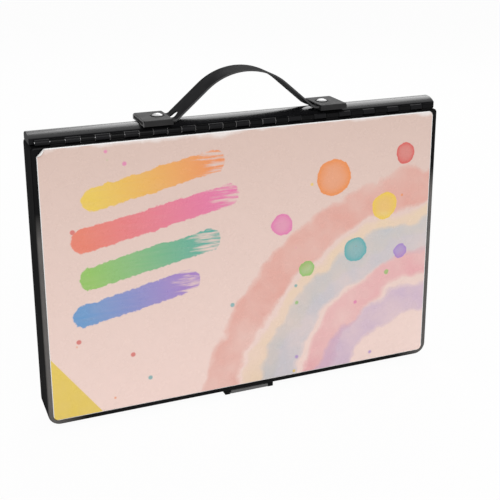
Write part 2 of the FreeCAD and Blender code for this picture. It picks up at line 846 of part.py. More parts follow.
class Tray:
    """A moulded insert on one side of the parting plane, collecting its wells."""

    def __init__(self, name, side):
        self.name = name
        self.side = side
        self.basins = []
        self.wells = []

    def well(self, name, x, z, depth):
        """Add a well between two limits in X and Z for a supply of this depth."""
        wall = size.tray_sheet
        floor = size.supply_level + depth + size.seat_gap
        basin_y = across(self.side, size.tray_deck_level, floor + wall)
        basin_x = (x[0] - wall, x[1] + wall)
        basin_z = (z[0] - wall, z[1] + wall)
        self.basins.append(box(f"{name}_basin", basin_x, basin_y, basin_z))
        well_y = across(self.side, size.tray_deck_level - wall, floor)
        self.wells.append(box(f"{name}_well", x, well_y, z))

    def finish(self):
        body = new_body(self.name + "_deck")
        radius = size.corner_radius - size.shell_wall - size.tray_clearance
        path = rounded(-tray_half, tray_half, tray_low, tray_high, radius, size.card_corner_radius)
        pad(body, self.name + "_sheet",
            outline(body, self.name + "_outline", "XZ_Plane", -self.side * size.tray_deck_level, path),
            size.tray_sheet, reverse=self.side == REAR)
        whole = fuse(self.name + "_joined", [body] + self.basins)
        keep(cut(self.name + "_formed", whole, self.wells), self.name)


def middle_y(side, radius):
    """Height of a round supply's axis that brings its crest to the supply level."""
    return side * (size.supply_level + radius)


def row_limits(widths, gap):
    """Limits along X of wells laid side by side and centred on the case."""
    total = sum(widths[1:], widths[0]) + (len(widths) - 1) * gap
    start = -total / 2
    limits = []
    for width in widths:
        limits.append((start, start + width))
        start = start + width + gap
    return limits


def felt_pens(tray):
    """Two columns of felt pens lying along X, their caps towards the middle."""
    well_x = pen_length + slack
    rows = int(size.pen_rows.number)
    well_z = (pens_low, upper_z)
    barrels = []
    caps = []
    y = FRONT * (size.supply_level + pen_depth - size.pen_cap_radius)
    for column, limits in enumerate(row_limits([well_x, well_x], size.well_gap)):
        tray.well(f"pens_{column}", limits, well_z, pen_depth)
        along = "x" if column == 0 else "-x"
        outer = limits[0] + size.well_clearance if column == 0 else limits[1] - size.well_clearance
        turn = 1 if column == 0 else -1
        for row in range(rows):
            z = well_z[0] + size.well_clearance + (row + 0.5) * pen_pitch
            tag = f"{column}_{row}"
            start = (outer, y, z)
            plug = rod(f"pen_plug_{tag}", along, start, size.pen_plug_radius, size.pen_plug_length)
            start = (outer + turn * size.pen_plug_length, y, z)
            barrel = rod(f"pen_barrel_{tag}", along, start, size.pen_barrel_radius, pen_barrel_length)
            barrels.append(fuse(f"pen_{tag}", [plug, barrel]))
            start = (start[0] + turn * pen_barrel_length, y, z)
            caps.append(rod(f"pen_cap_{tag}", along, start, size.pen_cap_radius, size.pen_cap_length))
    keep(group("pen_barrels", barrels), "felt_pen_barrels")
    keep(group("pen_caps", caps), "felt_pen_caps")


def oil_pastel(tag, x, y, z):
    stick = rod(f"pastel_{tag}", "z", (x, y, z), pastel_radius, stick_length)
    sleeve_radius = pastel_radius + size.wrapper_fit
    sleeve = tube(f"pastel_sleeve_{tag}", "z", (x, y, z + size.pastel_bare_end), sleeve_radius,
                  sleeve_radius + size.wrapper_thickness, stick_length - 2 * size.pastel_bare_end)
    return stick, sleeve


def wax_crayon(tag, x, y, z):
    length = stick_length - size.crayon_tip
    stick = rod(f"crayon_{tag}", "z", (x, y, z), crayon_radius, length)
    tip = taper(f"crayon_tip_{tag}", "z", (x, y, z + length), crayon_radius,
                size.crayon_tip_radius, size.crayon_tip)
    wrapper_radius = crayon_radius + size.wrapper_fit
    wrapper = tube(f"crayon_wrapper_{tag}", "z", (x, y, z), wrapper_radius,
                   wrapper_radius + size.wrapper_thickness, length - size.crayon_tip)
    return fuse(f"crayon_whole_{tag}", [stick, tip]), wrapper


def sticks_glue_and_sponge(tray):
    """The lower row of the front tray: pastels, crayons, glue stick and sponge."""
    count = int(size.stick_count.number)
    pastel_wide = size.stick_count * pastel_pitch + slack
    crayon_wide = size.stick_count * crayon_pitch + slack
    glue_wide = 2 * glue_cap_radius + slack
    sponge_wide = size.sponge_width + slack
    limits = row_limits([pastel_wide, crayon_wide, glue_wide, sponge_wide], size.well_gap)
    well_z = (lower_z, pens_low - size.well_gap)
    foot = lower_z + size.well_clearance
    kinds = [
        ("oil_pastels", "oil_pastel_sleeves", oil_pastel, pastel_pitch, pastel_radius),
        ("crayons", "crayon_wrappers", wax_crayon, crayon_pitch, crayon_radius),
    ]
    for (node, cover_node, maker, pitch, radius), x in zip(kinds, limits):
        tray.well(node, x, well_z, 2 * (radius + wrap))
        pairs = []
        for index in range(count):
            stick_x = x[0] + size.well_clearance + (index + 0.5) * pitch
            pairs.append(maker(index, stick_x, middle_y(FRONT, radius + wrap), foot))
        keep(group(node + "_set", [stick for stick, cover in pairs]), node)
        keep(group(cover_node + "_set", [cover for stick, cover in pairs]), cover_node)
    tray.well("glue", limits[2], well_z, 2 * glue_cap_radius)
    glue_x = (limits[2][0] + limits[2][1]) / 2
    glue_y = middle_y(FRONT, glue_cap_radius)
    glue_start = (glue_x, glue_y, foot)
    keep(rod("glue_barrel", "z", glue_start, glue_tube_radius, glue_tube_length), "glue_tube")
    cap_start = (glue_x, glue_y, foot + glue_tube_length)
    keep(rod("glue_lid", "z", cap_start, glue_cap_radius, size.glue_cap_length), "glue_cap")
    sponge_z = (foot, foot + stick_length)
    sponge_x = (limits[3][0] + size.well_clearance, limits[3][1] - size.well_clearance)
    tray.well("sponge", limits[3], well_z, sponge_depth)
    body = new_body("sponge_block")
    radius = size.sponge_edge_radius
    path = rounded(sponge_x[0], sponge_x[1], sponge_z[0], sponge_z[1], radius, radius)
    sponge_face = outline(body, "sponge_outline", "XZ_Plane", size.supply_level, path)
    pad(body, "sponge_body", sponge_face, sponge_depth)
    near = -size.supply_level.number
    round_edges(body, "sponge_edge", radius, lambda edge: lies_at(edge, "Y", near))
    keep(body, "sponge")


def pencil(tag, x, y, z):
    """A six-sided pencil along X: painted barrel and sharpened cone, then the bared lead."""
    barrel_length = pencil_length - size.pencil_cone - size.pencil_lead
    barrel = doc.addObject("Part::Prism", f"pencil_barrel_{tag}")
    barrel.Polygon = 6
    barrel.Placement.Rotation = ALONG["x"]
    bind(barrel, Circumradius=pencil_radius, Height=barrel_length)
    locate(barrel, x, y, z)
    flat = pencil_radius * math.sqrt(3) / 2
    cone_x = x + barrel_length
    cone = taper(f"pencil_cone_{tag}", "x", (cone_x, y, z), flat, size.pencil_lead_radius, size.pencil_cone)
    lead = taper(f"pencil_lead_{tag}", "x", (cone_x + size.pencil_cone, y, z),
                 size.pencil_lead_radius, size.pencil_point_radius, size.pencil_lead)
    return fuse(f"pencil_{tag}", [barrel, cone]), lead


def pencils_and_palette(tray):
    """The upper row of the rear tray: colour pencils, one graphite pencil and the paint palette."""
    pencil_wide = pencil_length + slack
    limits = row_limits([pencil_wide, palette_across + slack], size.well_gap)
    low = upper_z - palette_up - slack
    tray.well("pencils", limits[0], (low, upper_z), 2 * pencil_radius)
    count = int(size.pencil_count.number)
    woods = []
    leads = []
    for index in range(count):
        z = low + size.well_clearance + (index + 0.5) * pencil_pitch
        wood, lead = pencil(index, limits[0][0] + size.well_clearance, middle_y(REAR, pencil_radius), z)
        woods.append(wood)
        leads.append(lead)
    keep(woods[0], "graphite_pencil")
    keep(group("pencil_set", woods[1:]), "colour_pencils")
    keep(group("lead_set", leads), "pencil_leads")
    palette_x = (limits[1][0] + size.well_clearance, limits[1][1] - size.well_clearance)
    palette_z = (low + size.well_clearance, upper_z - size.well_clearance)
    tray.well("palette", limits[1], (low, upper_z), size.palette_depth)
    palette_y = across(REAR, size.supply_level, size.supply_level + size.palette_depth)
    plate = box("palette_plate", palette_x, palette_y, palette_z)
    pans = []
    cakes = []
    floor_y = palette_y[1] - size.cake_floor
    pan_radius = cake_radius + size.cake_clearance
    for column in range(int(size.palette_columns.number)):
        for row in range(int(size.palette_rows.number)):
            x = palette_x[0] + size.palette_edge + (column + 0.5) * cake_pitch
            z = palette_z[0] + size.palette_edge + (row + 0.5) * cake_pitch
            tag = f"{column}_{row}"
            start = (x, floor_y, z)
            pans.append(rod(f"pan_{tag}", "-y", start, pan_radius, size.palette_depth))
            cakes.append(rod(f"cake_{tag}", "-y", start, cake_radius, size.cake_depth))
    keep(cut("palette_panned", plate, pans), "palette")
    keep(group("cake_set", cakes), "paint_cakes")
    return low


def ruler_eraser_and_sharpener(tray, high):
    """The middle row of the rear tray."""
    lengths = [ruler_length, size.eraser_length, size.sharpener_length]
    limits = row_limits([length + slack for length in lengths], size.well_gap)
    ruler_z = (high - size.well_clearance - size.ruler_width, high - size.well_clearance)
    tray.well("ruler", limits[0], (ruler_z[0] - size.well_clearance, high), size.ruler_thickness)
    body = new_body("ruler_strip")
    near = size.supply_level
    far = near + size.ruler_thickness
    path = [
        (near, ruler_z[1], None),
        (near, ruler_z[0] + 2 * size.ruler_bevel, None),
        (near + size.ruler_bevel, ruler_z[0], None),
        (far, ruler_z[0], None),
        (far, ruler_z[1], None),
    ]
    start = limits[0][0] + size.well_clearance
    pad(body, "ruler_bar", outline(body, "ruler_section", "YZ_Plane", start, path), ruler_length)
    keep(body, "ruler")

    eraser_x = (limits[1][0] + size.well_clearance, limits[1][1] - size.well_clearance)
    eraser_z = (high - size.well_clearance - size.eraser_width, high - size.well_clearance)
    tray.well("eraser", limits[1], (eraser_z[0] - size.well_clearance, high), eraser_depth)
    skin = size.sleeve_thickness
    eraser_y = across(REAR, size.supply_level, size.supply_level + eraser_depth)
    core_y = (eraser_y[0] + skin, eraser_y[1] - skin)
    core_z = (eraser_z[0] + skin, eraser_z[1] - skin)
    keep(box("eraser_core", eraser_x, core_y, core_z), "eraser")
    sleeve_x = (eraser_x[0], eraser_x[0] + size.sleeve_length)
    sleeve = box("sleeve_outer", sleeve_x, eraser_y, eraser_z)
    inside = box("sleeve_inner", sleeve_x, core_y, core_z)
    keep(cut("sleeve_tube", sleeve, [inside]), "eraser_sleeve")

    body_x = (limits[2][0] + size.well_clearance, limits[2][1] - size.well_clearance)
    body_z = (high - size.well_clearance - size.sharpener_width, high - size.well_clearance)
    sharpener_well = (body_z[0] - size.well_clearance, high)
    tray.well("sharpener", limits[2], sharpener_well, sharpener_depth + sharpener_metal)
    block_low = size.supply_level + sharpener_metal
    block_y = (block_low, block_low + sharpener_depth)
    block = box("sharpener_block", body_x, block_y, body_z)
    axis = ((block_y[0] + block_y[1]) / 2, (body_z[0] + body_z[1]) / 2)
    throat = taper("sharpener_throat", "x", (body_x[0], axis[0], axis[1]),
                   sharpener_bore_radius, size.pencil_lead_radius, size.sharpener_length)
    keep(cut("sharpener_bored", block, [throat]), "sharpener_body")
    inset = size.sharpener_blade_inset
    blade_y = (size.supply_level + size.sharpener_screw_height, block_low)
    blade_x = (body_x[0] + inset, body_x[1] - inset)
    blade_z = (body_z[0] + inset, axis[1])
    keep(box("sharpener_edge", blade_x, blade_y, blade_z), "sharpener_blade")
    screw_at = ((blade_x[0] + blade_x[1]) / 2, blade_y[0], (blade_z[0] + blade_z[1]) / 2)
    screw = rod("sharpener_screw_head", "-y", screw_at,
                size.sharpener_screw_radius, size.sharpener_screw_height)
    keep(screw, "sharpener_screw")
    return ruler_z[0] - size.well_clearance


def limits_from(level, side, reach):
    """Limits from a level to a reach above it, or below it where side is negative."""
    return (level, level + reach) if side > 0 else (level - reach, level)


def scissors(tray, x, z):
    """Round-nosed scissors lying shut: two blades crossing at a pivot, and a looped handle on each."""
    thick = 2 * size.loop_thickness
    tray.well("scissors", x, z, thick)
    middle_z = (z[0] + z[1]) / 2
    tip_x = x[0] + size.well_clearance
    pivot_x = tip_x + size.blade_length
    plane = size.supply_level + size.loop_thickness
    blades = []
    handles = []
    loop_x = tip_x + size.scissors_length - size.loop_radius - size.loop_thickness
    for side, hand in ((-1, "lower"), (1, "upper")):
        near = plane + size.blade_gap / 2 if side < 0 else plane - size.blade_gap / 2 - size.blade_thickness
        y = (near, near + size.blade_thickness)
        body = new_body(f"{hand}_blade")
        broad = size.blade_width / 2
        narrow = size.blade_nose / 2
        heel_x = pivot_x + size.blade_width
        path = [
            (tip_x, middle_z - narrow, None),
            (tip_x + size.blade_point, middle_z - broad, None),
            (heel_x, middle_z - broad, None),
            (heel_x, middle_z + broad, None),
            (tip_x + size.blade_point, middle_z + broad, None),
            (tip_x, middle_z + narrow, None),
        ]
        pad(body, f"{hand}_blade_plate", outline(body, f"{hand}_blade_outline", "XZ_Plane", -y[0], path),
            size.blade_thickness, reverse=True)
        hole = rod(f"{hand}_blade_hole", "y", (pivot_x, y[0], middle_z),
                   size.scissor_pivot_radius + size.scissor_pivot_clearance, size.blade_thickness)
        blades.append(cut(f"{hand}_blade_bored", body, [hole]))
        loop_z = middle_z + side * size.loop_pitch / 2
        shank_y = (plane - size.loop_thickness / 2, plane + size.loop_thickness / 2)
        loop = doc.addObject("Part::Torus", f"{hand}_loop")
        loop.Placement.Rotation = ALONG["y"]
        bind(loop, Radius1=size.loop_radius, Radius2=size.loop_thickness)
        locate(loop, loop_x, plane, loop_z)
        shank_z = limits_from(middle_z, side, size.shank_width)
        shank_x = (pivot_x + size.blade_width, loop_x - size.loop_radius + size.loop_thickness / 2)
        shank = box(f"{hand}_shank_bar", shank_x, shank_y, shank_z)
        bridge_x = (loop_x - size.loop_radius - size.loop_thickness, loop_x - size.loop_radius)
        bridge = box(f"{hand}_bridge", bridge_x, shank_y, limits_from(middle_z, side, size.loop_pitch / 2))
        handles.append(fuse(f"{hand}_handle", [loop, shank, bridge]))
    keep(group("blade_pair", blades), "scissor_blades")
    keep(group("handle_pair", handles), "scissor_handles")
    pivot_y = plane - size.blade_gap / 2 - size.blade_thickness
    keep(rod("pivot_stud", "y", (pivot_x, pivot_y, middle_z), size.scissor_pivot_radius,
             2 * size.blade_thickness + size.blade_gap), "scissor_pivot")


def brush(tray, x, z):
    tray.well("brush", x, z, 2 * size.brush_handle_radius)
    y = middle_y(REAR, size.brush_handle_radius)
    mid = (z[0] + z[1]) / 2
    start = x[0] + size.well_clearance
    sections = [
        ("brush_handle", size.brush_tail_radius, size.brush_handle_radius, brush_handle_length),
        ("brush_ferrule", size.brush_ferrule_radius, size.brush_hair_radius, size.brush_ferrule_length),
        ("brush_bristles", size.brush_hair_radius, size.brush_tip_radius, size.brush_hair_length),
    ]
    for node, near_radius, far_radius, length in sections:
        keep(taper(node + "_cone", "x", (start, y, mid), near_radius, far_radius, length), node)
        start = start + length


def clips(tray, x, z):
    depth = 2 * (size.clip_jaw_thickness + size.clip_spring_radius)
    tray.well("clips", x, z, depth)
    jaws = []
    springs = []
    upper_y = across(REAR, size.supply_level, size.supply_level + size.clip_jaw_thickness)
    lower_y = across(REAR, size.supply_level + depth - size.clip_jaw_thickness, size.supply_level + depth)
    for index in range(int(size.clip_count.number)):
        left = x[0] + size.well_clearance + index * clip_pitch
        clip_x = (left, left + clip_length)
        low = z[0] + size.well_clearance
        clip_z = (low, low + size.clip_width)
        jaws.append(box(f"clip_upper_{index}", clip_x, upper_y, clip_z))
        jaws.append(box(f"clip_lower_{index}", clip_x, lower_y, clip_z))
        axis = ((clip_x[0] + clip_x[1]) / 2, (upper_y[1] + lower_y[0]) / 2, low)
        springs.append(rod(f"clip_spring_{index}", "z", axis, size.clip_spring_radius, size.clip_width))
    keep(group("jaw_set", jaws), "clip_jaws")
    keep(group("spring_set", springs), "clip_springs")


def lower_rear_row(tray, high):
    """Scissors on the left, the brush over the clips on the right."""
    left, right = row_limits([size.scissors_length + slack, brush_length + slack], size.well_gap)
    scissors(tray, left, (high - size.scissors_width - slack, high))
    brush_low = high - 2 * size.brush_handle_radius - slack
    brush(tray, right, (brush_low, high))
    clip_high = brush_low - size.well_gap
    clips(tray, right, (clip_high - size.clip_width - slack, clip_high))


def check_and_write():
    doc.recompute()
    for item in doc.Objects:
        if "Invalid" in item.State or "Error" in item.State:
            raise RuntimeError(f"{item.Name} failed: {item.State}")
    for label, item in nodes.items():
        if item.Shape.isNull() or not item.Shape.isValid():
            raise RuntimeError(f"{label} has no valid shape")
        print(label, len(item.Shape.Solids), round(item.Shape.Volume, 1))
    os.makedirs("parts", exist_ok=True)
    for label, item in nodes.items():
        item.Shape.exportStep(f"parts/{label}.step")


def main():
    front_shell()
    rear_shell()
    spine()
    hinge_rods()
    front_card()
    handle_strap()
    keepers()
    rivets()
    latch()
    front_tray = Tray("front_tray", FRONT)
    felt_pens(front_tray)
    sticks_glue_and_sponge(front_tray)
    front_tray.finish()
    rear_tray = Tray("rear_tray", REAR)
    pencil_low = pencils_and_palette(rear_tray)
    ruler_low = ruler_eraser_and_sharpener(rear_tray, pencil_low - size.well_gap)
    lower_rear_row(rear_tray, ruler_low - size.well_gap)
    rear_tray.finish()
    check_and_write()


main()
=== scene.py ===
# %% [markdown]
# # Dressing an art supply case
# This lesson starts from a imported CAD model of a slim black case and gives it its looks: glossy moulded
# plastic, a printed card, a strap, bright rivets and two trays full of supplies. The CAD model is a fixed
# frame. Nothing in it is moved, and every new piece is written in the same metres.

# %% Load the frame
import math

import bmesh
import bpy
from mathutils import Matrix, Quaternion, Vector, noise


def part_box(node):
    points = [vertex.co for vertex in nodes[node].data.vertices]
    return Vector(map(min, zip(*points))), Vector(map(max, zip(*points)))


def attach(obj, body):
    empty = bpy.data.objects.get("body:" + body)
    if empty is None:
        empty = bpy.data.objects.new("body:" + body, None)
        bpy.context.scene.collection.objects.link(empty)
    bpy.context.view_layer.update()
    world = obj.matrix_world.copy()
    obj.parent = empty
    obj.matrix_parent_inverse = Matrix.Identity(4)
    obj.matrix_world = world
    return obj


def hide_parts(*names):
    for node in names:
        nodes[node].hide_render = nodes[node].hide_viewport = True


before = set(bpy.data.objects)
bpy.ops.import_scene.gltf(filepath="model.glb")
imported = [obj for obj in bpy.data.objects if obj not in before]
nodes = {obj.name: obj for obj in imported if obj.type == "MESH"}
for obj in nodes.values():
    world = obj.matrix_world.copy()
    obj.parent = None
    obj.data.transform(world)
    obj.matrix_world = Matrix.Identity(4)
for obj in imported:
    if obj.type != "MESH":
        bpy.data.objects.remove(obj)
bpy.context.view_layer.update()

# %% [markdown]
# ## A small language for finishes
# A Blender material is a graph of nodes. Building it node by node hides the idea, so one class wraps an
# output socket and lets Python's operators add the Math nodes: `1 - mask * 0.3` is then three nodes. A
# second class holds the material, and its `add` makes any other node. Only what varies over a surface is
# linked. A plain number is set on the shader's own socket.

# %% The value class
class Value:
    """What one output socket gives, as something Python can calculate with."""

    def __init__(self, finish, socket):
        self.finish = finish
        self.socket = socket

    def math(self, operation, first, second=0.0):
        return self.finish.add("Math", {"operation": operation}, {0: first, 1: second})

    def __add__(self, other):
        return self.math("ADD", self, other)

    def __radd__(self, other):
        return self.math("ADD", other, self)

    def __sub__(self, other):
        return self.math("SUBTRACT", self, other)

    def __rsub__(self, other):
        return self.math("SUBTRACT", other, self)

    def __mul__(self, other):
        return self.math("MULTIPLY", self, other)

    def __rmul__(self, other):
        return self.math("MULTIPLY", other, self)

    def __truediv__(self, other):
        return self.math("DIVIDE", self, other)

    def __pow__(self, power):
        return self.math("POWER", self, power)

    def __gt__(self, limit):
        return self.math("GREATER_THAN", self, limit)

    def __lt__(self, limit):
        return self.math("LESS_THAN", self, limit)

    def clamped(self):
        return self.finish.add("Math", {"operation": "ADD", "use_clamp": True}, {0: self, 1: 0.0})

    def sine(self):
        return self.math("SINE", self)

    def size(self):
        return self.math("ABSOLUTE", self)

    def at_least(self, other):
        return self.math("MAXIMUM", self, other)

    def step_of(self, count):
        """The whole part, kept from 0 to count - 1."""
        return self.math("MINIMUM", self.math("FLOOR", self).at_least(0.0), count - 1.0)


print(Value.__name__, "wraps one output socket")

# %% The finish class
class Finish:
    """A material with one Principled shader, filled in by short calls."""

    def __init__(self, name, **plain):
        self.material = bpy.data.materials.new(name)
        self.material.use_nodes = True
        self.tree = self.material.node_tree
        self.shader = self.tree.nodes["Principled BSDF"]
        self.points = None
        self.set(**plain)

    def feed(self, socket, value):
        """Link a value to a socket, or set a plain number or colour on it."""
        if isinstance(value, Value):
            self.tree.links.new(value.socket, socket)
        elif isinstance(value, tuple) and len(value) == 3 and socket.type == "RGBA":
            socket.default_value = value + (1.0,)
        else:
            socket.default_value = value

    def add(self, kind, settings=None, sockets=None, out=0):
        """Add a node of a kind, set it up, then feed its sockets."""
        node = self.tree.nodes.new("ShaderNode" + kind)
        for name, setting in (settings or {}).items():
            if name == "stops":
                ramp = node.color_ramp.elements
                while len(ramp) < len(setting):
                    ramp.new(1.0)
                for stop, (place, colour) in zip(ramp, setting):
                    stop.position = place
                    stop.color = colour + (1.0,)
            elif name == "interpolation":
                node.color_ramp.interpolation = setting
            else:
                setattr(node, name, setting)
        for name, value in (sockets or {}).items():
            self.feed(node.inputs[name], value)
        return Value(self, node.outputs[out])

    def mix(self, factor, first, second):
        return self.add("Mix", {"data_type": "RGBA"}, {0: factor, 6: first, 7: second}, out=2)

    def place(self):
        """Points of the row frame at rest, in metres: a node's object sits at the origin."""
        if self.points is None:
            self.points = self.add("TexCoord", out=3)
        return self.points

    def axes(self, wanted="xyz"):
        """The coordinates that are asked for, one value each."""
        return [self.add("SeparateXYZ", {}, {0: self.place()}, out="xyz".index(axis)) for axis in wanted]

    def grain(self, scale, detail=3.0, rough=0.5, stretch=None):
        """Noise from 0 to 1; scale counts per metre, and stretch scales the axes apart."""
        points = self.place()
        if stretch:
            points = self.add("VectorMath", {"operation": "MULTIPLY"}, {0: points, 1: stretch})
        sockets = {"Vector": points, "Scale": scale, "Detail": detail, "Roughness": rough}
        return self.add("TexNoise", {}, sockets)

    def pick(self, share, colours):
        """One of a list of colours, by a share from 0 to 1 along the list."""
        stops = [(index / len(colours), colour) for index, colour in enumerate(colours)]
        return self.add("ValToRGB", {"interpolation": "CONSTANT", "stops": stops}, {0: share})

    def bump(self, height, strength, distance):
        normal = self.add("Bump", {}, {"Height": height, "Strength": strength, "Distance": distance})
        self.set(Normal=normal)

    def set(self, **values):
        """Feed sockets of the shader by name, with _ for a space."""
        for socket, value in values.items():
            self.feed(self.shader.inputs[socket.replace("_", " ")], value)


print(Finish.__name__, "holds one Principled material")

# %% Helpers for nodes, meshes and objects
def dress(finish, *names):
    """Give CAD nodes a finish in place of the one they came with."""
    for name in names:
        slots = nodes[name].data.materials
        slots.clear()
        slots.append(finish.material)
    print(finish.material.name, "on", ", ".join(names))


def as_mesh(shape, name):
    """Turn a finished bmesh into a named mesh."""
    mesh = bpy.data.meshes.new(name)
    shape.to_mesh(mesh)
    shape.free()
    return mesh


def shown(name, data):
    """Put a mesh, a lamp or a camera into the scene as an object."""
    thing = bpy.data.objects.new(name, data)
    bpy.context.scene.collection.objects.link(thing)
    return thing


print("helpers:", dress.__name__, as_mesh.__name__, shown.__name__)

# %% [markdown]
# ## Black moulding
# Both halves are moulded in black plastic. Pure black looks like a hole, so the colour is a very dark
# grey. What makes it plastic is the reflection. A plain Fresnel reflection turns the end walls white when
# they are seen edge on, so the gloss is a thin coat over a dull base instead: its weight scales the
# reflection at every angle. The rear panel is polished more than the walls. The front rim is painted grey
# along its two upright sides and round their lower corners, a painted reflection. The hinge knuckles are
# black too, but the ends of many of them are painted pale as painted highlights.

# %% Painted highlights on the knuckle ends
X_AXIS, Y_AXIS, Z_AXIS = 0, 1, 2
END_ON = 0.9
MOSTLY_ON = 0.7
KNUCKLE_FOOT = 0.1972
# Painted highlights on the knuckle ends: their pale grey, and the stretch of the row where they show.
KNUCKLE_HIGHLIGHT_GREY = (0.42, 0.41, 0.41)
KNUCKLE_HIGHLIGHT_MIDDLE = -0.045
KNUCKLE_HIGHLIGHT_REACH = 0.088
KNUCKLE_HIGHLIGHT_FADE = 0.025


def facing(finish, axis):
    """How squarely a face looks along an axis, from 0 to 1."""
    return finish.add("SeparateXYZ", {}, {0: finish.add("TexCoord", out=1)}, out=axis).size()


def painted_knuckle_highlights(finish, plastic, x, z):
    """Paint pale highlights on the knuckle ends, in the left and middle part of the row."""
    spread = ((KNUCKLE_HIGHLIGHT_REACH - (x - KNUCKLE_HIGHLIGHT_MIDDLE).size()) / KNUCKLE_HIGHLIGHT_FADE).clamped()
    # Painted highlight: the end faces of the knuckles turn pale grey.
    return finish.mix((facing(finish, X_AXIS) > END_ON) * (z > KNUCKLE_FOOT) * spread, plastic, KNUCKLE_HIGHLIGHT_GREY)


def hairlines(finish):
    """Fine scratches that run along the case."""
    return finish.grain(900.0, 2.0, 0.6, (1.0, 6.0, 9.0))


print("knuckle ends highlighted about", KNUCKLE_HIGHLIGHT_MIDDLE)

# %% Black shells
FRONT_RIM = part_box("front_shell")[0].y
RIM_LAP = 0.0002
SIDE_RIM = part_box("front_card")[1].x - RIM_LAP
# The front rim's painted reflection: its grey, and how deep and how high it reaches.
RIM_SHEEN_GREY = (0.160, 0.153, 0.148)
RIM_SHEEN_DEPTH = 0.0012
RIM_SHEEN_TOP = 0.155
RIM_SHEEN_FADE = 0.020
CORNER_REACH = 0.022
WALL_COAT = 0.012
FRONT_COAT = 0.10
REAR_EXTRA_COAT = 0.34


def black_shell():
    finish = Finish("black_shell", Specular_IOR_Level=0.0, Coat_Roughness=0.16, Coat_IOR=1.5)
    patches = finish.grain(38.0, 4.0)
    plastic = finish.mix(patches, (0.0032, 0.0032, 0.0036), (0.0060, 0.0060, 0.0064))
    x, y, z = finish.axes()
    # Painted reflection: the front rim turns grey along its upright sides and round their lower corners.
    rubbing_and_sheen = ((FRONT_RIM + RIM_SHEEN_DEPTH - y) / RIM_SHEEN_DEPTH).clamped()
    sideways = ((x.size() - SIDE_RIM) / CORNER_REACH + 1.0).clamped()
    low_down = ((RIM_SHEEN_TOP - z) / RIM_SHEEN_FADE).clamped()
    wear_and_sheen = rubbing_and_sheen * sideways * low_down * (0.45 + patches * 0.6)
    plastic = finish.mix(wear_and_sheen, plastic, RIM_SHEEN_GREY)
    panel = (facing(finish, Y_AXIS) > MOSTLY_ON) * (FRONT_COAT + (y > 0.0) * REAR_EXTRA_COAT)
    finish.set(Base_Color=painted_knuckle_highlights(finish, plastic, x, z), Roughness=0.5)
    finish.set(Coat_Weight=WALL_COAT + panel + patches * 0.02 + hairlines(finish) * 0.01)
    finish.bump(finish.grain(120.0, 2.0), 0.12, 0.0004)
    return finish


dress(black_shell(), "front_shell", "rear_shell")

# %% [markdown]
# ## The spine and the clasp
# The spine is the same plastic, but its crown is polished and mirrors the pale studio, from white along
# the crest to black at the front. Its knuckles and ends are duller, so the coat's weight follows the
# height. The clasp is painted greyer than the case: a painted sheen in place of the highlights on it.

# %% Polished spine
CROWN_FOOT = 0.2025
CROWN_EDGE = 0.0005
KNUCKLE_COAT = 0.20
CROWN_EXTRA_COAT = 0.76


def polished_spine():
    finish = Finish("black_gloss", Specular_IOR_Level=0.0, Coat_Roughness=0.24, Coat_IOR=1.5)
    patches = finish.grain(38.0, 4.0)
    x, z = finish.axes("xz")
    crown = ((z - CROWN_FOOT) / CROWN_EDGE).clamped() * (facing(finish, X_AXIS) < MOSTLY_ON)
    plastic = finish.mix(patches, (0.006, 0.006, 0.007), (0.010, 0.010, 0.011))
    finish.set(Base_Color=painted_knuckle_highlights(finish, plastic, x, z), Roughness=0.5)
    finish.set(Coat_Weight=KNUCKLE_COAT + crown * CROWN_EXTRA_COAT - hairlines(finish) * 0.08)
    finish.bump(finish.grain(120.0, 2.0), 0.12, 0.0004)
    return finish


dress(polished_spine(), "spine")

# %% Clasp with a painted sheen
def painted_sheen_clasp():
    finish = Finish("painted_sheen_clasp", IOR=1.5)
    rubbing_and_sheen = finish.grain(160.0, 4.0)
    scratches = hairlines(finish)
    # Painted sheen: the grey of the clasp stands in for the highlights on it.
    finish.set(Base_Color=finish.mix(rubbing_and_sheen, (0.070, 0.069, 0.070), (0.130, 0.128, 0.128)))
    finish.set(Roughness=0.30 + rubbing_and_sheen * 0.12 + scratches * 0.05)
    finish.bump(scratches, 0.10, 0.0002)
    return finish


dress(painted_sheen_clasp(), "latch_clasp")

# %% [markdown]
# ## Satin keepers
# The two keepers that hold the strap are duller, with a fine even grain. It could be modelled, but a
# noise with a few grains to the millimetre in the bump is enough at this size. Their outer ends are cut,
# and their end faces are painted paler grey: a painted highlight.

# %% Satin black
KEEPER_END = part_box("right_keeper_cap")[1].x
KEEPER_END_HIGHLIGHT_DEPTH = 0.00012
KEEPER_END_HIGHLIGHT_GREY = (0.240, 0.236, 0.236)


def black_satin():
    finish = Finish("black_satin", Specular_IOR_Level=0.0, Coat_Roughness=0.36, Coat_IOR=1.5)
    grain = finish.grain(2600.0, 3.0)
    wear_and_sheen = finish.grain(140.0, 4.0)
    # Painted highlight: the keepers' outer end faces turn paler grey.
    keeper_end_highlight = finish.axes("x")[0].size() > KEEPER_END - KEEPER_END_HIGHLIGHT_DEPTH
    skin = finish.mix(wear_and_sheen, (0.012, 0.012, 0.012), (0.026, 0.025, 0.026))
    finish.set(Base_Color=finish.mix(keeper_end_highlight * (0.6 + wear_and_sheen * 0.6), skin, KEEPER_END_HIGHLIGHT_GREY))
    finish.set(Roughness=0.6, Coat_Weight=0.23 + wear_and_sheen * 0.18)
    finish.bump(grain, 0.25, 0.0002)
    return finish


dress(black_satin(), "left_keeper_base", "right_keeper_base", "left_keeper_cap", "right_keeper_cap")

# %% [markdown]
# ## The strap: its shape
# The handle is a flat strap of soft black sheet, bent into an arch. The CAD band has sharp edges, so a
# new band takes its place: a grid that follows the same arch, from the grip's arc down a straight limb
# and round a small bend to the flat end. The long slot near each end is a hole in the grid, whose lines
# are squeezed together at the slot's round tips. Solidify gives it thickness, and a bevel softens its
# edges.

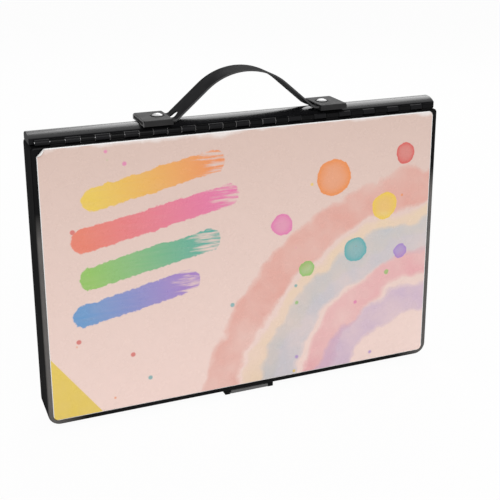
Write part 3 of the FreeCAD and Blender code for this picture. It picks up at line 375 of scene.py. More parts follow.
# %% The strap's arch
strap_low, strap_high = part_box("handle_strap")
STRAP_THICKNESS = 0.0012
GRIP_RADIUS = 0.042
FOOT_RADIUS = 0.004
LIMB_ANGLE = math.radians(41.0)
grip_centre = strap_high.z - STRAP_THICKNESS - GRIP_RADIUS
grip_end = GRIP_RADIUS * math.sin(LIMB_ANGLE)
limb_top = grip_centre + GRIP_RADIUS * math.cos(LIMB_ANGLE)
limb_foot = strap_low.z + FOOT_RADIUS * (1 - math.cos(LIMB_ANGLE))
foot_start = grip_end + (limb_top - limb_foot) / math.tan(LIMB_ANGLE)
flat_start = foot_start + FOOT_RADIUS * math.sin(LIMB_ANGLE)


def underside(x):
    """Height of the strap's underside above a place along the case."""
    away = abs(x)
    if away <= grip_end:
        return grip_centre + math.sqrt(GRIP_RADIUS ** 2 - away ** 2)
    if away <= foot_start:
        return limb_top - (away - grip_end) * math.tan(LIMB_ANGLE)
    if away <= flat_start:
        return strap_low.z + FOOT_RADIUS - math.sqrt(FOOT_RADIUS ** 2 - (flat_start - away) ** 2)
    return strap_low.z


print("strap limb from", round(grip_end, 4), "to", round(foot_start, 4), "m from the middle")

# %% The strap's slots and grid
SLOT_INNER, SLOT_OUTER = 0.0455, 0.0655
SLOT_HALF = 0.00325
GRIP_STEPS = 18
LIMB_STEPS = 8
TIP_STEPS = 8
BEND_STEPS = 6
FLAT_STEPS = 5
CLOSEST_ROWS = 0.0001
TOUCHING = 1e-6
BAND_LINES = (0.0, 0.0011, 0.0022, SLOT_HALF, 0.0050, 0.0070, 0.0090, strap_high.y)


def slot_reach(away):
    """Half the slot's width at a distance from the strap's middle, 0 outside the slot."""
    tip = max(SLOT_INNER + SLOT_HALF - away, away - SLOT_OUTER + SLOT_HALF, 0.0)
    return math.sqrt(max(SLOT_HALF ** 2 - tip ** 2, 0.0))


def strap_rows():
    """Places along half the strap: close together where it bends and at the slot's tips."""
    rows = [GRIP_RADIUS * math.sin(LIMB_ANGLE * step / GRIP_STEPS) for step in range(GRIP_STEPS)]
    rows += [grip_end + (SLOT_INNER - grip_end) * step / LIMB_STEPS for step in range(LIMB_STEPS)]
    turns = [math.pi / 2 * step / TIP_STEPS for step in range(TIP_STEPS + 1)]
    rows += [SLOT_INNER + SLOT_HALF * (1 - math.cos(turn)) for turn in turns]
    angles = [LIMB_ANGLE * step / BEND_STEPS for step in range(BEND_STEPS, -1, -1)]
    bends = [flat_start - FOOT_RADIUS * math.sin(angle) for angle in angles]
    rows += [bend for bend in bends if bend > SLOT_INNER + SLOT_HALF + CLOSEST_ROWS]
    last = SLOT_OUTER - SLOT_HALF
    flat_steps = range(1, FLAT_STEPS + 1)
    rows += [flat_start + (last - flat_start) * step / FLAT_STEPS for step in flat_steps]
    rows += [last + SLOT_HALF * math.sin(turn) for turn in turns[1:]]
    rows += [SLOT_OUTER + (strap_high.x - SLOT_OUTER) * step / FLAT_STEPS for step in flat_steps]
    return rows


def band_place(away, line):
    """Where a grid line runs across the strap: it gives way to the slot."""
    if not SLOT_INNER <= away <= SLOT_OUTER:
        return line
    reach = slot_reach(away)
    if line <= SLOT_HALF:
        return line * reach / SLOT_HALF
    return reach + (line - SLOT_HALF) * (strap_high.y - reach) / (strap_high.y - SLOT_HALF)


print("strap rows in each half", len(strap_rows()))

# %% The strap's mesh
EDGE_ROUND = 0.0003
EDGE_ANGLE = math.radians(50.0)


def strap_mesh():
    band = bmesh.new()
    half = strap_rows()
    places = [-x for x in half[:0:-1]] + half
    lines = [-line for line in BAND_LINES[:0:-1]] + list(BAND_LINES)
    grid = []
    for x in places:
        across = [math.copysign(band_place(abs(x), abs(line)), line) for line in lines]
        grid.append([band.verts.new((x, y, underside(x))) for y in across])
    for row in range(len(places) - 1):
        near, far = sorted((abs(places[row]), abs(places[row + 1])))
        slotted = near >= SLOT_INNER - TOUCHING and far <= SLOT_OUTER + TOUCHING
        for line in range(len(lines) - 1):
            if slotted and max(abs(lines[line]), abs(lines[line + 1])) <= SLOT_HALF:
                continue
            corners = (grid[row][line], grid[row + 1][line], grid[row + 1][line + 1], grid[row][line + 1])
            band.faces.new(corners).smooth = True
    bmesh.ops.remove_doubles(band, verts=band.verts[:], dist=TOUCHING)
    return as_mesh(band, "strap_band")


strap = shown("strap_band", strap_mesh())
body = strap.modifiers.new("thickness", "SOLIDIFY")
body.thickness = STRAP_THICKNESS
body.offset = 1.0
edges = strap.modifiers.new("soft_edges", "BEVEL")
edges.width = EDGE_ROUND
edges.segments = 2
edges.limit_method = "ANGLE"
edges.angle_limit = EDGE_ANGLE
edges.harden_normals = True
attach(strap, "handle")
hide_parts("handle_strap")
print("strap faces", len(strap.data.polygons))

# %% [markdown]
# ## The strap: its skin
# Voronoi cells give the pebbled grain of the sheet, and a slower noise rubs some of them paler, as hands
# do. A pressed line runs inside each edge and holds painted shade, and the edges carry a painted
# highlight.

# %% Strap skin
CREASE_INSET = 0.0016
CREASE_WIDTH = 0.0005
STRAP_EDGE_HIGHLIGHT = 0.00025


def strap_skin():
    finish = Finish("strap", Specular_IOR_Level=0.0, Coat_Roughness=0.42, Coat_IOR=1.5)
    cells = finish.add("TexVoronoi", {}, {"Vector": finish.place(), "Scale": 1100.0})
    rubbing_and_sheen = finish.grain(90.0, 4.0)
    x, y = finish.axes("xy")
    from_edge = strap_high.y - y.size()
    crease = (from_edge - CREASE_INSET).size() < CREASE_WIDTH
    strap_edge_highlight = (from_edge < STRAP_EDGE_HIGHLIGHT).at_least(x.size() > strap_high.x - STRAP_EDGE_HIGHLIGHT)
    skin = finish.mix(rubbing_and_sheen, (0.010, 0.010, 0.011), (0.020, 0.020, 0.021))
    # Painted shade: the pressed line is darkened, as shade in its groove.
    skin = finish.mix(crease * 0.5, skin, (0.008, 0.008, 0.008))
    # Painted highlight: the strap's edges turn paler.
    finish.set(Base_Color=finish.mix(strap_edge_highlight, skin, (0.060, 0.059, 0.060)))
    finish.set(Roughness=0.6, Coat_Weight=0.06 + rubbing_and_sheen * 0.08)
    finish.bump(cells * 0.4 - crease * 0.6, 0.30, 0.00025)
    return finish


strap.data.materials.append(strap_skin().material)
print("strap skin on", strap.name)

# %% [markdown]
# ## Bright steel
# Rods, pins, blades and the ferrule are plated steel. A metal has no colour of its own apart from what it
# reflects, so the base colour is pale and the fine scratches sit in the roughness. The rivets are duller,
# with a dark ring of painted shade round the foot of each dome.

# %% Bright steel
def fine_scratches(finish):
    """Scratches across a small metal piece, in its bump too."""
    scratches = finish.grain(1500.0, 2.0, 0.6, (1.0, 1.0, 8.0))
    finish.bump(scratches, 0.08, 0.0001)
    return scratches


def bright_steel():
    finish = Finish("bright_steel", Metallic=1.0)
    haze = finish.grain(300.0, 3.0)
    finish.set(Base_Color=finish.mix(haze, (0.56, 0.56, 0.57), (0.70, 0.70, 0.71)))
    finish.set(Roughness=0.16 + haze * 0.12 + fine_scratches(finish) * 0.08)
    return finish


dress(bright_steel(), "rivet_washers", "front_hinge_rod", "rear_hinge_rod", "latch_pin", "scissor_blades",
      "scissor_pivot", "sharpener_blade", "sharpener_screw", "brush_ferrule", "clip_springs")

# %% Rivets
RIVET_RADIUS = 0.004
RIVET_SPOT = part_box("rivets")[1].x - RIVET_RADIUS
RING_START = 0.0034
RING_EDGE = 0.0002
RING_SHADE_BLACK = (0.020, 0.020, 0.020)


def rivet_steel():
    finish = Finish("rivet_steel", Metallic=1.0)
    fine_scratches(finish)
    x, y = finish.axes("xy")
    from_axis = ((x.size() - RIVET_SPOT) ** 2 + y ** 2) ** 0.5
    # Painted shade: a dark ring round the foot of each dome.
    ring = ((from_axis - RING_START) / RING_EDGE).clamped()
    haze = finish.grain(300.0, 3.0)
    polish = finish.mix(haze, (0.40, 0.40, 0.40), (0.54, 0.54, 0.54))
    finish.set(Base_Color=finish.mix(ring, polish, RING_SHADE_BLACK), Roughness=0.40 + haze * 0.12)
    return finish


dress(rivet_steel(), "rivets")

# %% [markdown]
# ## The printed card: its sheet
# A glossy card lies in the front panel, and its upper left corner has come loose and rolled up. The CAD
# card is a plain plate, so a new sheet replaces it: a grid that is fine at the corners, squeezed to round
# corners, with the loose corner wound round a small roll. A Solidify modifier gives it thickness, and its
# back and edges take a second, white finish.

# %% The card's grid
low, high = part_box("front_card")
CARD_FACE = low.y
CARD_THICKNESS = high.y - low.y
CARD_CORNER = 0.0038
FINE_STEP = 0.0005
FINE_REACH = 0.016
COARSE_STEP = 0.004


def card_lines(start, end, first_reach, last_reach):
    """Grid lines along one side: close together at both ends, wider apart between them."""
    first = int(round(first_reach / FINE_STEP))
    last = int(round(last_reach / FINE_STEP))
    room = (end - last_reach) - (start + first_reach)
    middle = int(room / COARSE_STEP)
    lines = [start + FINE_STEP * step for step in range(first)]
    lines += [start + first_reach + room * step / middle for step in range(middle)]
    lines += [end - last_reach + FINE_STEP * step for step in range(last + 1)]
    return lines


def squeezed(x, z):
    """Move a point of a square corner into a round one."""
    along = max(low.x + CARD_CORNER - x, x - high.x + CARD_CORNER, 0.0)
    up = max(low.z + CARD_CORNER - z, z - high.z + CARD_CORNER, 0.0)
    if along == 0.0 or up == 0.0:
        return x, z
    keep = max(along, up) / math.hypot(along, up)
    side = 1.0 if x > 0 else -1.0
    rise = 1.0 if z > (low.z + high.z) / 2 else -1.0
    return x - side * along * (1 - keep), z - rise * up * (1 - keep)


columns = card_lines(low.x, high.x, FINE_REACH, 2 * CARD_CORNER)
rows = card_lines(low.z, high.z, 2 * CARD_CORNER, FINE_REACH)
print("card grid", len(columns), "by", len(rows))

# %% Roll the loose corner and make the sheet
ROLL_START = 0.0047
ROLL_RADIUS = 0.0011
DIAGONAL = math.sqrt(0.5)


def rolled(x, z):
    """Wind what lies beyond the roll line about a small cylinder in front of the card."""
    inward = ((x - low.x) + (high.z - z)) * DIAGONAL
    past = ROLL_START - inward
    if past <= 0.0:
        return Vector((x, CARD_FACE, z))
    turn = past / ROLL_RADIUS
    slide = past - ROLL_RADIUS * math.sin(turn)
    lift = ROLL_RADIUS * (1 - math.cos(turn))
    return Vector((x + slide * DIAGONAL, CARD_FACE - lift, z - slide * DIAGONAL))


def sheet_mesh():
    sheet = bmesh.new()
    grid = [[sheet.verts.new(rolled(*squeezed(x, z))) for x in columns] for z in rows]
    for lower, upper in zip(grid, grid[1:]):
        for corner in range(len(lower) - 1):
            face = sheet.faces.new((lower[corner], lower[corner + 1], upper[corner + 1], upper[corner]))
            face.smooth = True
    return as_mesh(sheet, "printed_card")


card = shown("printed_card", sheet_mesh())
board = card.modifiers.new("board", "SOLIDIFY")
board.thickness = CARD_THICKNESS
board.offset = -1.0
board.material_offset = 1
board.material_offset_rim = 1
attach(card, "front_half")
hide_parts("front_card")
print("card faces", len(card.data.polygons))

# %% [markdown]
# ## The printed card: its design
# The card carries a generic painted design: soft watercolour arcs over pink and beige, four broad brush
# strokes, wet dabs with a scatter of small spots, and a plain yellow corner. A picture file could hold
# it, but a formula stays sharp at any size. Each shape is a distance: how far a point lies from a line or
# a centre. A noise bends the distance, so that the edges run as paint does.

# %% Shapes for the print
def soft_step(distance, reach, softness):
    """1 inside a reach, 0 outside it, with a soft edge."""
    return ((reach - distance) / softness + 0.5).clamped()


def stroke(x, z, start, end):
    """Distance from a stroke's middle line, and how far along it a point lies, from 0 to 1."""
    run = Vector((end[0] - start[0], end[1] - start[1]))
    across = x - start[0]
    up = z - start[1]
    along = ((across * run.x + up * run.y) / run.length_squared).clamped()
    off = ((across - along * run.x) ** 2 + (up - along * run.y) ** 2) ** 0.5
    return off, along


def radius_from(x, z, centre):
    """Distance from a centre in the plane of the card."""
    return ((x - centre[0]) ** 2 + (z - centre[1]) ** 2) ** 0.5


print("shapes:", soft_step.__name__, stroke.__name__, radius_from.__name__)

# %% Colours and places of the print
PAPER_TINT = (0.895, 0.686, 0.624)
PAPER_WARM = (0.660, 0.490, 0.425)
HAZE_AND_HIGHLIGHT_WHITE = (0.880, 0.870, 0.860)
FLASH_REACH = (0.034, 0.046)
FLASH_YELLOW = (0.780, 0.570, 0.060)
WASHES = [
    ((0.720, 0.270, 0.210), (0.150, -0.035), 0.178, 0.0125),
    ((0.800, 0.620, 0.400), (0.158, -0.046), 0.163, 0.0100),
    ((0.440, 0.500, 0.580), (0.146, -0.028), 0.132, 0.0120),
    ((0.760, 0.310, 0.350), (0.160, -0.030), 0.116, 0.0105),
    ((0.500, 0.370, 0.580), (0.150, -0.050), 0.104, 0.0110),
]
STROKES = [
    ((-0.108, 0.160), (-0.026, 0.177), (0.80, 0.55, 0.05), (0.80, 0.24, 0.06)),
    ((-0.116, 0.133), (-0.016, 0.152), (0.78, 0.17, 0.10), (0.74, 0.14, 0.36)),
    ((-0.112, 0.106), (-0.030, 0.122), (0.24, 0.52, 0.08), (0.03, 0.36, 0.30)),
    ((-0.118, 0.080), (-0.044, 0.094), (0.07, 0.28, 0.58), (0.34, 0.18, 0.54)),
]
DABS = [
    ((0.064, 0.156), 0.0135, (0.80, 0.24, 0.04)),
    ((0.106, 0.130), 0.0105, (0.82, 0.56, 0.05)),
    ((0.024, 0.126), 0.0085, (0.72, 0.16, 0.40)),
    ((0.083, 0.098), 0.0090, (0.06, 0.38, 0.40)),
    ((0.121, 0.168), 0.0070, (0.64, 0.06, 0.05)),
    ((0.044, 0.090), 0.0058, (0.22, 0.50, 0.10)),
    ((0.120, 0.092), 0.0054, (0.34, 0.19, 0.56)),
]
print("card design:", len(WASHES), "arcs,", len(STROKES), "strokes,", len(DABS), "dabs")

# %% The washed ground
GROUND_RISE = 5.2
GROUND_START = 0.12


def washed_ground(finish, x, z, wobble, pigment):
    """Pink and beige paper tint, warmer towards the top, with the soft arcs over it."""
    warmth = (z * GROUND_RISE + pigment * 0.14 - GROUND_START).clamped()
    colour = finish.mix(warmth, PAPER_TINT, PAPER_WARM)
    for tint, centre, radius, width in WASHES:
        off = (radius_from(x, z, centre) + wobble * 0.022 - radius).size()
        wet = finish.grain(30.0, 3.0, 0.5, (1.0 + radius, 1.0, 1.0))
        band = soft_step(off, width, 0.0022 + 0.0035 * wet)
        rim = soft_step((off - width).size(), 0.0006, 0.0012)
        paint = (band * (wet * 0.95 + pigment * 0.25 - 0.06)).clamped()
        colour = finish.mix(paint + rim * 0.07, colour, tint)
    return colour


print("ground turns warm over", round(1 / GROUND_RISE, 3), "m")

# %% Strokes
STROKE_REACH = 0.0080
DRY_START = 0.45


def brushed(finish, colour, x, z, wobble, ragged):
    """Broad strokes that start wet and run dry, so that their ends break into streaks."""
    bristle = finish.grain(420.0, 3.0, 0.62, (0.10, 1.0, 1.0))
    for start, end, first, last in STROKES:
        off, along = stroke(x, z, start, end)
        body = soft_step(off + ragged * 0.0045 + wobble * 0.0030, STROKE_REACH, 0.0007)
        dry = ((along - DRY_START) * 1.7).clamped()
        streaks = ((bristle - dry * 0.62) * 5.0 + 0.9).clamped()
        hue = finish.mix(along, first, last)
        colour = finish.mix(body * streaks * (0.80 + bristle * 0.20), colour, hue)
    return colour


print("strokes about", 2 * STROKE_REACH, "m wide")

# %% Dabs and spots
SPOTS_PER_METRE = 82.0
SPOT_CHANCE = 0.80
CHANCE_SPREAD = 5.0


def dabbed(finish, colour, x, z, wobble, ragged, pigment):
    """Round dabs of wet paint: paler in the middle, darker where the paint dried at the edge."""
    for centre, size, tint in DABS:
        off = radius_from(x, z, centre) + wobble * 0.0070 + ragged * 0.0024
        pool = soft_step(off, size, 0.0006)
        edge = (off / size) ** 3.0
        colour = finish.mix(pool * (0.58 + edge * 0.34 + pigment * 0.14).clamped(), colour, tint)
    return colour


def spattered(finish, colour):
    """Small spots of the dabs' colours, one in some of the cells of a Voronoi pattern."""
    cells = {"Vector": finish.place(), "Scale": SPOTS_PER_METRE}
    spot = finish.add("TexVoronoi", {}, cells)
    chance = finish.add("SeparateColor", {}, {0: finish.add("TexVoronoi", {}, cells, out=1)})
    luck = chance - SPOT_CHANCE
    scatter = soft_step(spot, 0.085 + luck * 0.5, 0.05) * (chance > SPOT_CHANCE)
    hue = finish.pick(luck * CHANCE_SPREAD, [tint for centre, size, tint in DABS])
    return finish.mix(scatter * 0.75, colour, hue)


print("spots in cells of about", round(1 / SPOTS_PER_METRE, 4), "m")

# %% [markdown]
# ## The printed card: its finish
# The layers go on as a painter would put them: ground, yellow corner, spots, strokes, dabs. A thin white
# band along the card's edges is a painted highlight where its glossy edges catch the light, and along the
# top a ragged band is hazed toward white.

# %% Printed and bare card
EDGE_HIGHLIGHT_TOP = 0.0007
EDGE_HIGHLIGHT_RIGHT = 0.0006
EDGE_HIGHLIGHT_LEFT = 0.0005
EDGE_HIGHLIGHT_FOOT = 0.0004
HAZE_REACH = 0.0015
HAZE_RAGGED = 0.014
HAZE_SOFTNESS = 0.003


def haze_and_edge_highlight(finish, colour, x, z, wobble):
    """The whitish haze along the top, and the painted highlight along the card's edges."""
    haze = soft_step(high.z - z, HAZE_REACH + wobble * HAZE_RAGGED, HAZE_SOFTNESS)
    colour = finish.mix(haze * 0.60, colour, HAZE_AND_HIGHLIGHT_WHITE)
    # Painted highlight: a thin white band along the card's edges, where its glossy edges catch the light.
    edge_highlight = (z > high.z - EDGE_HIGHLIGHT_TOP).at_least(x > high.x - EDGE_HIGHLIGHT_RIGHT)
    edge_highlight = edge_highlight.at_least(x < low.x + EDGE_HIGHLIGHT_LEFT).at_least(z < low.z + EDGE_HIGHLIGHT_FOOT)
    return finish.mix(edge_highlight, colour, HAZE_AND_HIGHLIGHT_WHITE)


def printed_card():
    finish = Finish("printed_card", IOR=1.5, Coat_Roughness=0.06)
    x, z = finish.axes("xz")
    wobble = finish.grain(42.0, 4.0) - 0.5
    ragged = finish.grain(260.0, 4.0, 0.6) - 0.5
    pigment = finish.grain(90.0, 6.0, 0.62)
    colour = washed_ground(finish, x, z, wobble, pigment)
    flash = (x - low.x) / FLASH_REACH[0] + (z - low.z) / FLASH_REACH[1]
    colour = finish.mix(soft_step(flash, 1.0, 0.02) * (0.82 + pigment * 0.2), colour, FLASH_YELLOW)
    colour = spattered(finish, colour)
    colour = brushed(finish, colour, x, z, wobble, ragged)
    colour = dabbed(finish, colour, x, z, wobble, ragged, pigment)
    finish.set(Base_Color=haze_and_edge_highlight(finish, colour, x, z, wobble))
    finish.set(Roughness=0.22 + pigment * 0.10, Coat_Weight=0.35 + wobble * 0.10)
    finish.bump(finish.grain(26.0, 1.0), 0.10, 0.0010)
    return finish


def white_board():
    finish = Finish("white_board")
    fibre = finish.grain(1800.0, 4.0)
    finish.set(Base_Color=finish.mix(fibre, (0.78, 0.77, 0.75), (0.88, 0.87, 0.85)))
    finish.set(Roughness=0.55 + fibre * 0.2)
    finish.bump(fibre, 0.15, 0.0002)
    return finish


card.data.materials.append(printed_card().material)
card.data.materials.append(white_board().material)
print("card finishes", [material.name for material in card.data.materials])

# %% [markdown]
# ## Trays
# Each half holds a thin black insert with a well for every kind of supply. It is duller than the case,
# with the slight orange-peel skin of formed sheet. The skin could be cut into the mesh, but it is far
# finer than the walls of the wells, so a bump carries it.

# %% Tray black
def tray_black():
    finish = Finish("tray_black", IOR=1.47)
    peel = finish.grain(420.0, 3.0)
    dust = finish.grain(60.0, 5.0)
    finish.set(Base_Color=finish.mix(dust, (0.018, 0.018, 0.020), (0.034, 0.034, 0.036)))
    finish.set(Roughness=0.40 + dust * 0.15)
    finish.bump(peel, 0.20, 0.0003)
    return finish


dress(tray_black(), "front_tray", "rear_tray")

# %% [markdown]
# ## Sets of colours
# Pens, sticks, pencils and paints come in sets of twelve, and each kind is one CAD node. Rather than a
# material for every stick, a stepped ramp reads where a point lies across the set and picks its colour.

# %% The colours and the stepped ramp
BRIGHT = [
    (0.80, 0.62, 0.04), (0.84, 0.36, 0.02), (0.74, 0.08, 0.04), (0.76, 0.16, 0.30),
    (0.40, 0.07, 0.36), (0.15, 0.08, 0.42), (0.03, 0.13, 0.52), (0.05, 0.40, 0.66),
    (0.02, 0.36, 0.28), (0.10, 0.42, 0.07), (0.26, 0.11, 0.04), (0.03, 0.03, 0.03),
]
SOFT = [
    (0.86, 0.78, 0.36), (0.86, 0.56, 0.26), (0.78, 0.30, 0.22), (0.84, 0.46, 0.52),
    (0.58, 0.32, 0.60), (0.36, 0.30, 0.66), (0.20, 0.40, 0.74), (0.32, 0.64, 0.78),
    (0.24, 0.62, 0.52), (0.42, 0.66, 0.24), (0.52, 0.34, 0.18), (0.34, 0.35, 0.37),
]


def across_set(finish, point, node, axis, gap, colours):
    """The colour of the piece in a set that a point lies on, by its place along one axis."""
    low_corner, high_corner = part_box(node)
    start = low_corner[axis] - gap / 2
    span = high_corner[axis] - low_corner[axis] + gap
    return finish.pick((point - start) / span, colours)


print("sets of", len(BRIGHT), "colours")

# %% [markdown]
# ## Felt pens
# White barrels, each with an end plug and a cap in its ink's colour. The left column has the bright set
# and the right column the soft one. A plug could be a piece of its own, but it is flush with its barrel,
# so a step along X colours it.

# %% Pens
PEN_GAP = 0.0005
PLUG_LENGTH = 0.003
CAP_RIBS = 5200.0


def pen_colours(finish, x, z):
    left = across_set(finish, z, "felt_pen_caps", Z_AXIS, PEN_GAP, BRIGHT)
    right = across_set(finish, z, "felt_pen_caps", Z_AXIS, PEN_GAP, SOFT)
    return finish.mix(x > 0.0, left, right)


def pen_cap():
    finish = Finish("pen_cap", IOR=1.5)
    x, z = finish.axes("xz")
    flow = finish.grain(500.0, 2.0)
    finish.set(Base_Color=pen_colours(finish, x, z), Roughness=0.20 + flow * 0.12)
    finish.bump((x * CAP_RIBS).sine(), 0.10, 0.0002)
    return finish


def pen_white():
    finish = Finish("pen_white", IOR=1.5)
    x, z = finish.axes("xz")
    plug_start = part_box("felt_pen_barrels")[1].x - PLUG_LENGTH
    flow = finish.grain(300.0, 3.0)
    barrel = finish.mix(flow, (0.78, 0.78, 0.77), (0.86, 0.86, 0.85))
    finish.set(Base_Color=finish.mix(x.size() > plug_start, barrel, pen_colours(finish, x, z)))
    finish.set(Roughness=0.26 + flow * 0.12)
    return finish


dress(pen_cap(), "felt_pen_caps")
dress(pen_white(), "felt_pen_barrels")

# %% [markdown]
# ## Pastels, crayons and their wraps
# The sticks are soft and waxy, so they scatter light and show crumbs in the bump. Their wraps are plain
# paper with a band of the stick's colour near each end. A band could be a strip laid on top, but it is
# only ink, so it is drawn in the colour.

# %% Sticks
STICK_GAP = 0.0005


def waxy(name, node, colours, crumbs):
    finish = Finish(name, Subsurface_Weight=0.08, Subsurface_Scale=0.002)
    speck = finish.grain(crumbs, 4.0, 0.6)
    colour = across_set(finish, finish.axes("x")[0], node, X_AXIS, STICK_GAP, colours)
    finish.set(Base_Color=finish.mix(speck * 0.18, colour, (0.80, 0.78, 0.74)))
    finish.set(Roughness=0.48 + speck * 0.2)
    finish.bump(speck, 0.35, 0.0003)
    return finish


dress(waxy("pastel", "oil_pastels", BRIGHT, 900.0), "oil_pastels")
dress(waxy("crayon", "crayons", BRIGHT[::-1], 1400.0), "crayons")

# %% Paper wraps
WRAP_BAND = 0.0016


def paper_wrap(name, node, colours):
    finish = Finish(name)
    x, z = finish.axes("xz")
    low_corner, high_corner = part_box(node)
    middle = (low_corner.z + high_corner.z) / 2
    half = (high_corner.z - low_corner.z) / 2
    fibre = finish.grain(2200.0, 4.0)
    paper = finish.mix(fibre, (0.74, 0.72, 0.66), (0.86, 0.84, 0.79))
    ring = ((z - middle).size() - (half - 3 * WRAP_BAND)).size() < WRAP_BAND
    tint = across_set(finish, x, node, X_AXIS, STICK_GAP, colours)
    finish.set(Base_Color=finish.mix(ring * 0.9, paper, tint), Roughness=0.58 + fibre * 0.2)
    finish.bump(fibre, 0.18, 0.0002)
    return finish


dress(paper_wrap("pastel_wrap", "oil_pastel_sleeves", BRIGHT), "oil_pastel_sleeves")
dress(paper_wrap("crayon_wrap", "crayon_wrappers", BRIGHT[::-1]), "crayon_wrappers")

# %% [markdown]
# ## Pencils
# Six-sided pencils in lacquer, sharpened to a cone of bare wood. The lacquer ends in scallops where the
# sharpener cut the flats: the step between paint and wood is moved by a wave round the barrel.

# %% Pencil finishes
PENCIL_GAP = 0.0004
LEAD_GAP = 0.0057
CONE_LENGTH = 0.0200
SCALLOP_WAVES = 1700.0
SCALLOP_DEPTH = 0.0012
ALONG_GRAIN = (0.10, 1.0, 1.0)


def wood_colour(finish, pale, dark):
    return finish.mix(finish.grain(700.0, 4.0, 0.6, ALONG_GRAIN), pale, dark)


def pencil_paint(name, node, colours):
    finish = Finish(name, IOR=1.5)
    x, y, z = finish.axes()
    cone_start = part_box("pencil_leads")[1].x - CONE_LENGTH
    bare = x + (y * SCALLOP_WAVES).sine() * SCALLOP_DEPTH > cone_start
    paint = colours[0]
    if len(colours) > 1:
        paint = across_set(finish, z, node, Z_AXIS, PENCIL_GAP, colours)
    wood = wood_colour(finish, (0.62, 0.43, 0.26), (0.48, 0.30, 0.16))
    finish.set(Base_Color=finish.mix(bare, paint, wood), Roughness=0.20 + bare * 0.45)
    finish.bump(finish.grain(600.0, 3.0, 0.6, ALONG_GRAIN), 0.08, 0.0002)
    return finish


dress(pencil_paint("pencil_paint", "colour_pencils", BRIGHT), "colour_pencils")
dress(pencil_paint("pencil_black", "graphite_pencil", [(0.016, 0.016, 0.018)]), "graphite_pencil")

# %% Pencil leads
GRAPHITE = (0.05, 0.05, 0.055)


def pencil_lead():
    finish = Finish("pencil_lead")
    z = finish.axes("z")[0]
    dust = finish.grain(2000.0, 3.0)
    colour = across_set(finish, z, "pencil_leads", Z_AXIS, LEAD_GAP, [GRAPHITE] + BRIGHT)
    finish.set(Base_Color=finish.mix(dust * 0.2, colour, (0.6, 0.58, 0.55)), Roughness=0.5 + dust * 0.2)
    return finish


dress(pencil_lead(), "pencil_leads")

# %% [markdown]
# ## Palette and paints
# A white moulded palette with twelve round pans of pressed paint. The cakes are read by rows and columns:
# two ramps would do, but one ramp over a running number, row by row, keeps all twelve colours apart.

# %% Palette and cakes
CAKE_COLUMNS = 3
CAKE_ROWS = 4


def palette_white():
    finish = Finish("palette_white", IOR=1.5)
    flow = finish.grain(160.0, 3.0)
    finish.set(Base_Color=finish.mix(flow, (0.78, 0.78, 0.77), (0.87, 0.87, 0.86)))
    finish.set(Roughness=0.24 + flow * 0.14)
    finish.bump(flow, 0.05, 0.0003)
    return finish


def paint():
    finish = Finish("paint")
    x, z = finish.axes("xz")
    low_corner, high_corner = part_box("paint_cakes")
    column = ((x - low_corner.x) / (high_corner.x - low_corner.x) * CAKE_COLUMNS).step_of(CAKE_COLUMNS)
    row = ((z - low_corner.z) / (high_corner.z - low_corner.z) * CAKE_ROWS).step_of(CAKE_ROWS)
    number = (row * CAKE_COLUMNS + column + 0.5) / (CAKE_COLUMNS * CAKE_ROWS)
    crumb = finish.grain(1200.0, 5.0, 0.65)
    colour = finish.mix(crumb * 0.16, finish.pick(number, BRIGHT), (0.85, 0.83, 0.80))
    finish.set(Base_Color=colour, Roughness=0.62 + crumb * 0.2)
    finish.bump(crumb, 0.4, 0.0004)
    return finish


dress(palette_white(), "palette")
dress(paint(), "paint_cakes")

# %% [markdown]
# ## Plain moulded supplies
# The glue tube and cap, eraser, sharpener and scissor handles are single mouldings. One recipe serves
# them all: two near shades, a soft flow of roughness and a slight ripple.

# %% One recipe, several mouldings
def moulding(name, shade, tint, rough, **plain):
    finish = Finish(name, **plain)
    flow = finish.grain(240.0, 3.0)
    finish.set(Base_Color=finish.mix(flow, shade, tint), Roughness=rough + flow * 0.12)
    finish.bump(flow, 0.06, 0.0003)
    return finish


dress(moulding("glue_white", (0.78, 0.78, 0.76), (0.86, 0.86, 0.85), 0.24), "glue_tube")
dress(moulding("glue_cap", (0.78, 0.30, 0.03), (0.84, 0.36, 0.05), 0.22), "glue_cap")
dress(moulding("eraser", (0.80, 0.79, 0.77), (0.88, 0.87, 0.86), 0.55), "eraser")
dress(moulding("sharpener", (0.58, 0.03, 0.05), (0.68, 0.05, 0.07), 0.20), "sharpener_body")
dress(moulding("scissor_grip", (0.04, 0.18, 0.50), (0.06, 0.24, 0.58), 0.24), "scissor_handles")

# %% [markdown]
# The ruler is pale blue with plain graduation lines along one edge: a line every millimetre, and a longer
# one every fifth and tenth, but no figures. A triangle wave along X comes down to zero at each line, so
# a limit on it draws them all at once.

# %% Ruler
MILLIMETRE = 0.001
LINE_WIDTH = 0.00018
BARE_END = 0.006
LINE_LENGTHS = {1: 0.0032, 5: 0.0046, 10: 0.0060}
MARK_BLUE = (0.03, 0.05, 0.08)


def ruler_clear():
    finish = Finish("ruler_clear", IOR=1.49)
    x, z = finish.axes("xz")
    low_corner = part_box("ruler")[0]
    along = x - (low_corner.x + BARE_END)
    from_edge = z - low_corner.z
    marks = None
    for step, length in LINE_LENGTHS.items():
        rest = along.math("PINGPONG", along, step * MILLIMETRE / 2)
        line = (rest < LINE_WIDTH / 2) * (from_edge < length)
        marks = line if marks is None else marks.at_least(line)
    flow = finish.grain(200.0, 3.0)
    plastic = finish.mix(flow, (0.42, 0.60, 0.70), (0.52, 0.68, 0.76))
    finish.set(Base_Color=finish.mix(marks * 0.85, plastic, MARK_BLUE), Roughness=0.12 + flow * 0.1)
    return finish


dress(ruler_clear(), "ruler")

# %% [markdown]
# The eraser's sleeve is printed paper with plain stripes. The brush has a lacquered handle, and the clips
# are plain wood, so they share the wood grain used on the pencils.

